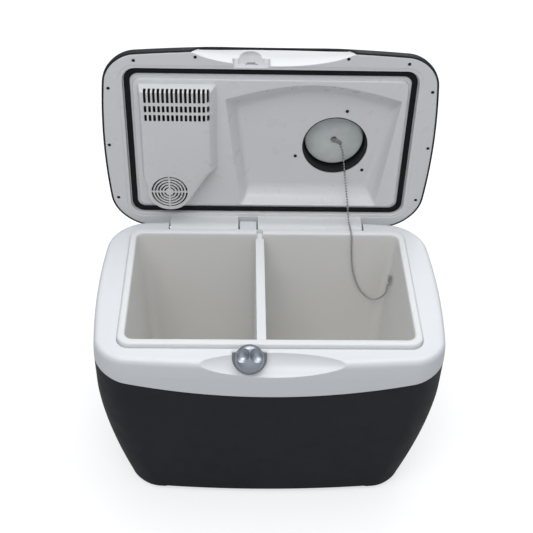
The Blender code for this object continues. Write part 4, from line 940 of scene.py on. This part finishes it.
def grille_slots(name, centre, low, high, first, pitch, width, rings):
    """Curved slots in rings around a centre, broken by four straight arms."""
    bm = bmesh.new()
    half_arm = 0.0012
    for ring in range(rings):
        inner = first + ring * pitch
        margin = math.degrees(half_arm / inner)
        for start in (0, 90, 180, 270):
            points = sector(inner, inner + width, start + margin, start + 90 - margin, 12 + 4 * ring)
            outline = [(centre.x + x, centre.y + y) for x, y in points]
            skin(bm, [[bm.verts.new(point) for point in level(outline, z)] for z in (low, high)])
    return add(name, bm)


# Hatch, vent and controls


def make_hatch():
    low, high = closed_box("hatch_tube")
    outer, inner = 0.0596, HATCH_RADIUS
    profile = (
        (inner, low.z + 0.0008), (inner + 0.0006, low.z), (outer - 0.0004, low.z), (outer, low.z + 0.0006),
        (outer, high.z - 0.0006), (outer - 0.0005, high.z), (inner + 0.0005, high.z),
        (inner, high.z - 0.0006),
    )
    settle(turned("hatch_sleeve", profile, HATCH, closed=True), "lid", "dark", "hatch_tube")

    low, high = closed_box("plug_cap")
    profile = [(AXIS, low.z), (0.0568, low.z)]
    rim = ((0.0568, 0.0012), (0.0564, 0.0004), (0.0556, 0), (0.0508, 0), (0.0500, 0.0004), (0.0470, 0.0033))
    profile += [(radius, high.z - drop) for radius, drop in (*rim, (0.0440, 0.0037), (AXIS, 0.0037))]
    cap = turned("plug_grip", profile, HATCH)
    x, y = HATCH[:2]
    grip_low = (x - 0.0475, y - 0.0055, high.z - 0.0060)
    grip = box("fill_cap_grip", grip_low, (x + 0.0475, y + 0.0055, high.z - 0.0004))
    join(cap, soften(grip, 0.0016))
    settle(cap, "plug", "charcoal", "plug_cap")

    low, high = closed_box("plug_core")
    side = (
        (AXIS, 0), (0.0500, 0), (0.0522, 0.0003), (0.0535, 0.0012), (0.0540, 0.0028), (0.0540, 0.0053),
        (0.0520, 0.0053), (0.0520, 0.0093), (0.0540, 0.0093),
    )
    profile = [(radius, low.z + rise) for radius, rise in side] + [(0.0540, high.z), (AXIS, high.z)]
    settle(turned("plug_body", profile, HATCH), "plug", "plug", "plug_core")
    make_screw("eye_screw", HATCH, closed_box("plug_screw")[0].z, 0.0042, "plug", "steel", "plug_screw")

    low, high = closed_box("chain_eye")
    place = Matrix.Translation((x, y, 0)) @ Matrix.Rotation(math.radians(32), 4, "Z")
    reach = 0.0135
    outline = arc(0.0062, 38, 322, 30) + arc(0.0036, -80, 80, 14, reach)
    eye = soften(prism("eye_tab", outline, low.z, high.z, turn=place), 0.0003, 2)
    cut(eye, bore("cut_eye_ring", place @ Vector((reach, 0, 0)), 0.0018, 0.39, 0.42, 24))
    settle(eye, "plug", "steel", "chain_eye")


def make_vent():
    low, high = closed_box("outer_vent_grille")
    profile = ((AXIS, low.z), (0.0520, low.z), (0.0520, high.z - 0.0008), (0.0512, high.z), (AXIS, high.z))
    grille = turned("vent_grille", profile, HOT_FAN)
    cut(grille, grille_slots("cut_vent_grille", HOT_FAN, 0.41, 0.43, 0.0140, 0.0092, 0.0055, 4))
    settle(grille, "lid", "dark", "outer_vent_grille")


def make_controls():
    low, high = closed_box("power_socket")
    profile = (
        (AXIS, low.z), (0.0080, low.z), (0.0080, high.z - 0.0017), (0.0098, high.z - 0.0017),
        (0.0100, high.z - 0.0012), (0.0097, high.z), (0.0064, high.z), (0.0060, high.z - 0.0005),
        (0.0060, low.z + 0.0030), (AXIS, low.z + 0.0030),
    )
    settle(turned("socket", profile, SOCKET, 64), "lid", "dark", "power_socket")

    half, steps = 0.0075, 10
    side = [(-half, -0.0034), (half, -0.0034)]
    for i in range(steps + 1):
        y = half - 2 * half * i / steps
        side.append((y, 0.0024 + 0.0012 * (y / half) ** 2))
    tilt = Matrix.Translation(ROCKER) @ Matrix.Rotation(math.radians(-8), 4, "X")
    rocker = soften(prism("rocker", side, -half, half, turn=tilt @ ALONG_X), 0.0004, 2)
    settle(rocker, "rocker", "dark", "rocker_switch")


# Chain, built open


def chain_of(name, corners, node):
    """A bead chain: round beads at an even pitch on a thin wire."""
    bead, wire, pitch = 0.0019, 0.0004, 0.0053
    path = smooth_path(corners, 24)
    lengths = [0.0]
    for start, end in zip(path, path[1:]):
        lengths.append(lengths[-1] + (end - start).length)
    count = round(lengths[-1] / pitch)
    bm = bmesh.new()
    spots = []
    place = 0
    for n in range(count + 1):
        wanted = lengths[-1] * n / count
        while place < len(lengths) - 2 and lengths[place + 1] < wanted:
            place += 1
        share = (wanted - lengths[place]) / (lengths[place + 1] - lengths[place])
        spots.append(path[place].lerp(path[place + 1], min(share, 1.0)))
    for spot in spots:
        matrix = Matrix.Translation(spot)
        bmesh.ops.create_uvsphere(bm, u_segments=16, v_segments=10, radius=bead, matrix=matrix)
    for start, end in zip(spots, spots[1:]):
        along = end - start
        matrix = Matrix.Translation((start + end) / 2) @ along.to_track_quat("Z", "Y").to_matrix().to_4x4()
        bmesh.ops.create_cone(bm, cap_ends=True, segments=8, radius1=wire, radius2=wire,
                              depth=along.length * 0.9, matrix=matrix)
    obj = add(name, bm, Matrix.Translation(SHIFT))
    obj.data.shade_smooth()
    obj.data.materials.append(MATERIALS["steel"])
    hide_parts(node)
    return obj


def make_chain():
    upper = (
        (0.1335, 0.2475, 0.4850), (0.1385, 0.2360, 0.4690), (0.1425, 0.2215, 0.4420),
        (0.1510, 0.1905, 0.3805),
    )
    lower = (
        (0.1512, 0.1897, 0.3780), (0.1525, 0.1700, 0.3640), (0.1535, 0.1500, 0.3640),
        (0.1545, 0.1385, 0.3638), (0.1552, 0.1338, 0.3600), (0.1560, 0.1322, 0.3500),
        (0.1580, 0.1285, 0.3200), (0.1640, 0.1270, 0.2780), (0.1800, 0.1245, 0.2330),
        (0.2060, 0.1180, 0.2120), (0.2260, 0.1090, 0.2320), (0.2300, 0.1050, 0.2620),
    )
    hanging = chain_of("bead_chain_upper", upper, "chain_upper")
    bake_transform(hanging)
    lying = chain_of("bead_chain_lower", lower, "chain_lower")
    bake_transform(lying)


def make_hook():
    """A ring that stands on the liner's wall and holds the chain's lower end."""
    low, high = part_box("chain_hook")
    middle = (low + high) / 2 - SHIFT
    rings = []
    for i in range(40):
        around = math.tau * i / 40
        out = Vector((0, math.cos(around), math.sin(around)))
        centre = Vector((0.2312, middle.y + 0.0058 * out.y, middle.z + 0.0090 * out.z))
        section = [math.tau * k / 12 for k in range(12)]
        aside = Vector((0.0015, 0, 0))
        rings.append([centre + out * 0.0022 * math.cos(a) + aside * math.sin(a) for a in section])
    settle(loft("hook_ring", rings, closed=True), "tub", "steel", "chain_hook")


make_tub_shell()
make_collar()
make_liner()
make_divider()
make_latch()
make_panel()
make_lid_shell()
make_seal()
make_fan_cover()
make_cold_sink()
make_hatch()
make_vent()
make_controls()
make_chain()
make_hook()
for helper in HELPERS:
    bpy.data.objects.remove(helper)


# Studio


def make_floor():
    """A pale floor that glows to the camera alone."""
    floor_glow = 0.62
    floor_mesh = bmesh.new()
    bmesh.ops.create_grid(floor_mesh, x_segments=1, y_segments=1, size=30.0)
    floor = add("floor", floor_mesh)
    made, tree, shader = nodes_of("pale_floor")
    shader.inputs["Base Color"].default_value = (0.50, 0.50, 0.51, 1.0)
    shader.inputs["Roughness"].default_value = 0.85
    shader.inputs["Emission Color"].default_value = (1.0, 1.0, 1.0, 1.0)
    seen = tree.nodes.new("ShaderNodeLightPath")
    glow = tree.nodes.new("ShaderNodeMath")
    glow.operation = "MULTIPLY"
    glow.inputs[1].default_value = floor_glow
    tree.links.new(seen.outputs["Is Camera Ray"], glow.inputs[0])
    tree.links.new(glow.outputs["Value"], shader.inputs["Emission Strength"])
    floor.data.materials.append(made)


def make_sky():
    """A soft sky, darker below, that the camera sees as plain white."""
    world = bpy.data.worlds.new("studio")
    bpy.context.scene.world = world
    world.use_nodes = True
    link, new = world.node_tree.links.new, world.node_tree.nodes.new
    world.node_tree.nodes.clear()
    out = new("ShaderNodeOutputWorld")
    coords = new("ShaderNodeTexCoord")
    split = new("ShaderNodeSeparateXYZ")
    link(coords.outputs["Generated"], split.inputs["Vector"])
    ramp = new("ShaderNodeValToRGB")
    stops = ramp.color_ramp.elements
    stops[0].position, stops[0].color = 0.0, (0.10, 0.10, 0.11, 1)
    stops[1].position, stops[1].color = 1.0, (0.95, 0.97, 1.0, 1)
    stops.new(0.35).color = (0.34, 0.35, 0.37, 1)
    link(split.outputs["Z"], ramp.inputs["Fac"])
    soft = new("ShaderNodeBackground")
    soft.inputs["Strength"].default_value = 0.80
    link(ramp.outputs["Color"], soft.inputs["Color"])
    plain = new("ShaderNodeBackground")
    plain.inputs["Color"].default_value = (1, 1, 1, 1)
    path = new("ShaderNodeLightPath")
    mix = new("ShaderNodeMixShader")
    link(path.outputs["Is Camera Ray"], mix.inputs["Fac"])
    link(soft.outputs["Background"], mix.inputs[1])
    link(plain.outputs["Background"], mix.inputs[2])
    link(mix.outputs["Shader"], out.inputs["Surface"])


def softbox(name, place, aim, size, power):
    light = bpy.data.lights.new(name, "AREA")
    light.shape = "RECTANGLE"
    light.size, light.size_y = size
    light.energy = power
    obj = bpy.data.objects.new(name, light)
    obj.location = place
    obj.rotation_euler = (Vector(aim) - Vector(place)).to_track_quat("-Z", "Y").to_euler()
    bpy.context.scene.collection.objects.link(obj)


def make_camera():
    """The photo's view, from the front and well above the lid."""
    azimuth, elevation, roll = math.radians(2.199), math.radians(41.521), math.radians(1.902)
    reach = math.cos(elevation)
    ahead = Vector((math.sin(azimuth) * reach, math.cos(azimuth) * reach, -math.sin(elevation)))
    flat_right = Vector((math.cos(azimuth), -math.sin(azimuth), 0))
    flat_up = flat_right.cross(ahead)
    right = flat_right * math.cos(roll) + flat_up * math.sin(roll)
    up = flat_up * math.cos(roll) - flat_right * math.sin(roll)
    camera = bpy.data.cameras.new("camera")
    camera.lens = 66.8
    camera.sensor_width = 36
    obj = bpy.data.objects.new("camera", camera)
    place = Matrix.Translation(Vector((-0.0548, -1.2757, 1.5300)) + SHIFT)
    obj.matrix_world = place @ Matrix((right, up, -ahead)).transposed().to_4x4()
    bpy.context.scene.collection.objects.link(obj)
    bpy.context.scene.camera = obj


make_floor()
make_sky()
softbox("key", (-0.5, -1.3, 2.6), (0, 0, 0.3), (1.8, 1.2), 20)
softbox("top", (0.2, 0.5, 2.4), (0, 0.1, 0.3), (2.2, 1.4), 16)
softbox("front", (0.3, -2.6, 0.9), (0, 0, 0.25), (2.0, 1.2), 4)
softbox("back", (0.5, 2.6, 1.7), (0, 0.1, 0.35), (2.0, 1.4), 14)
make_camera()
bpy.context.scene.view_settings.view_transform = "Standard"
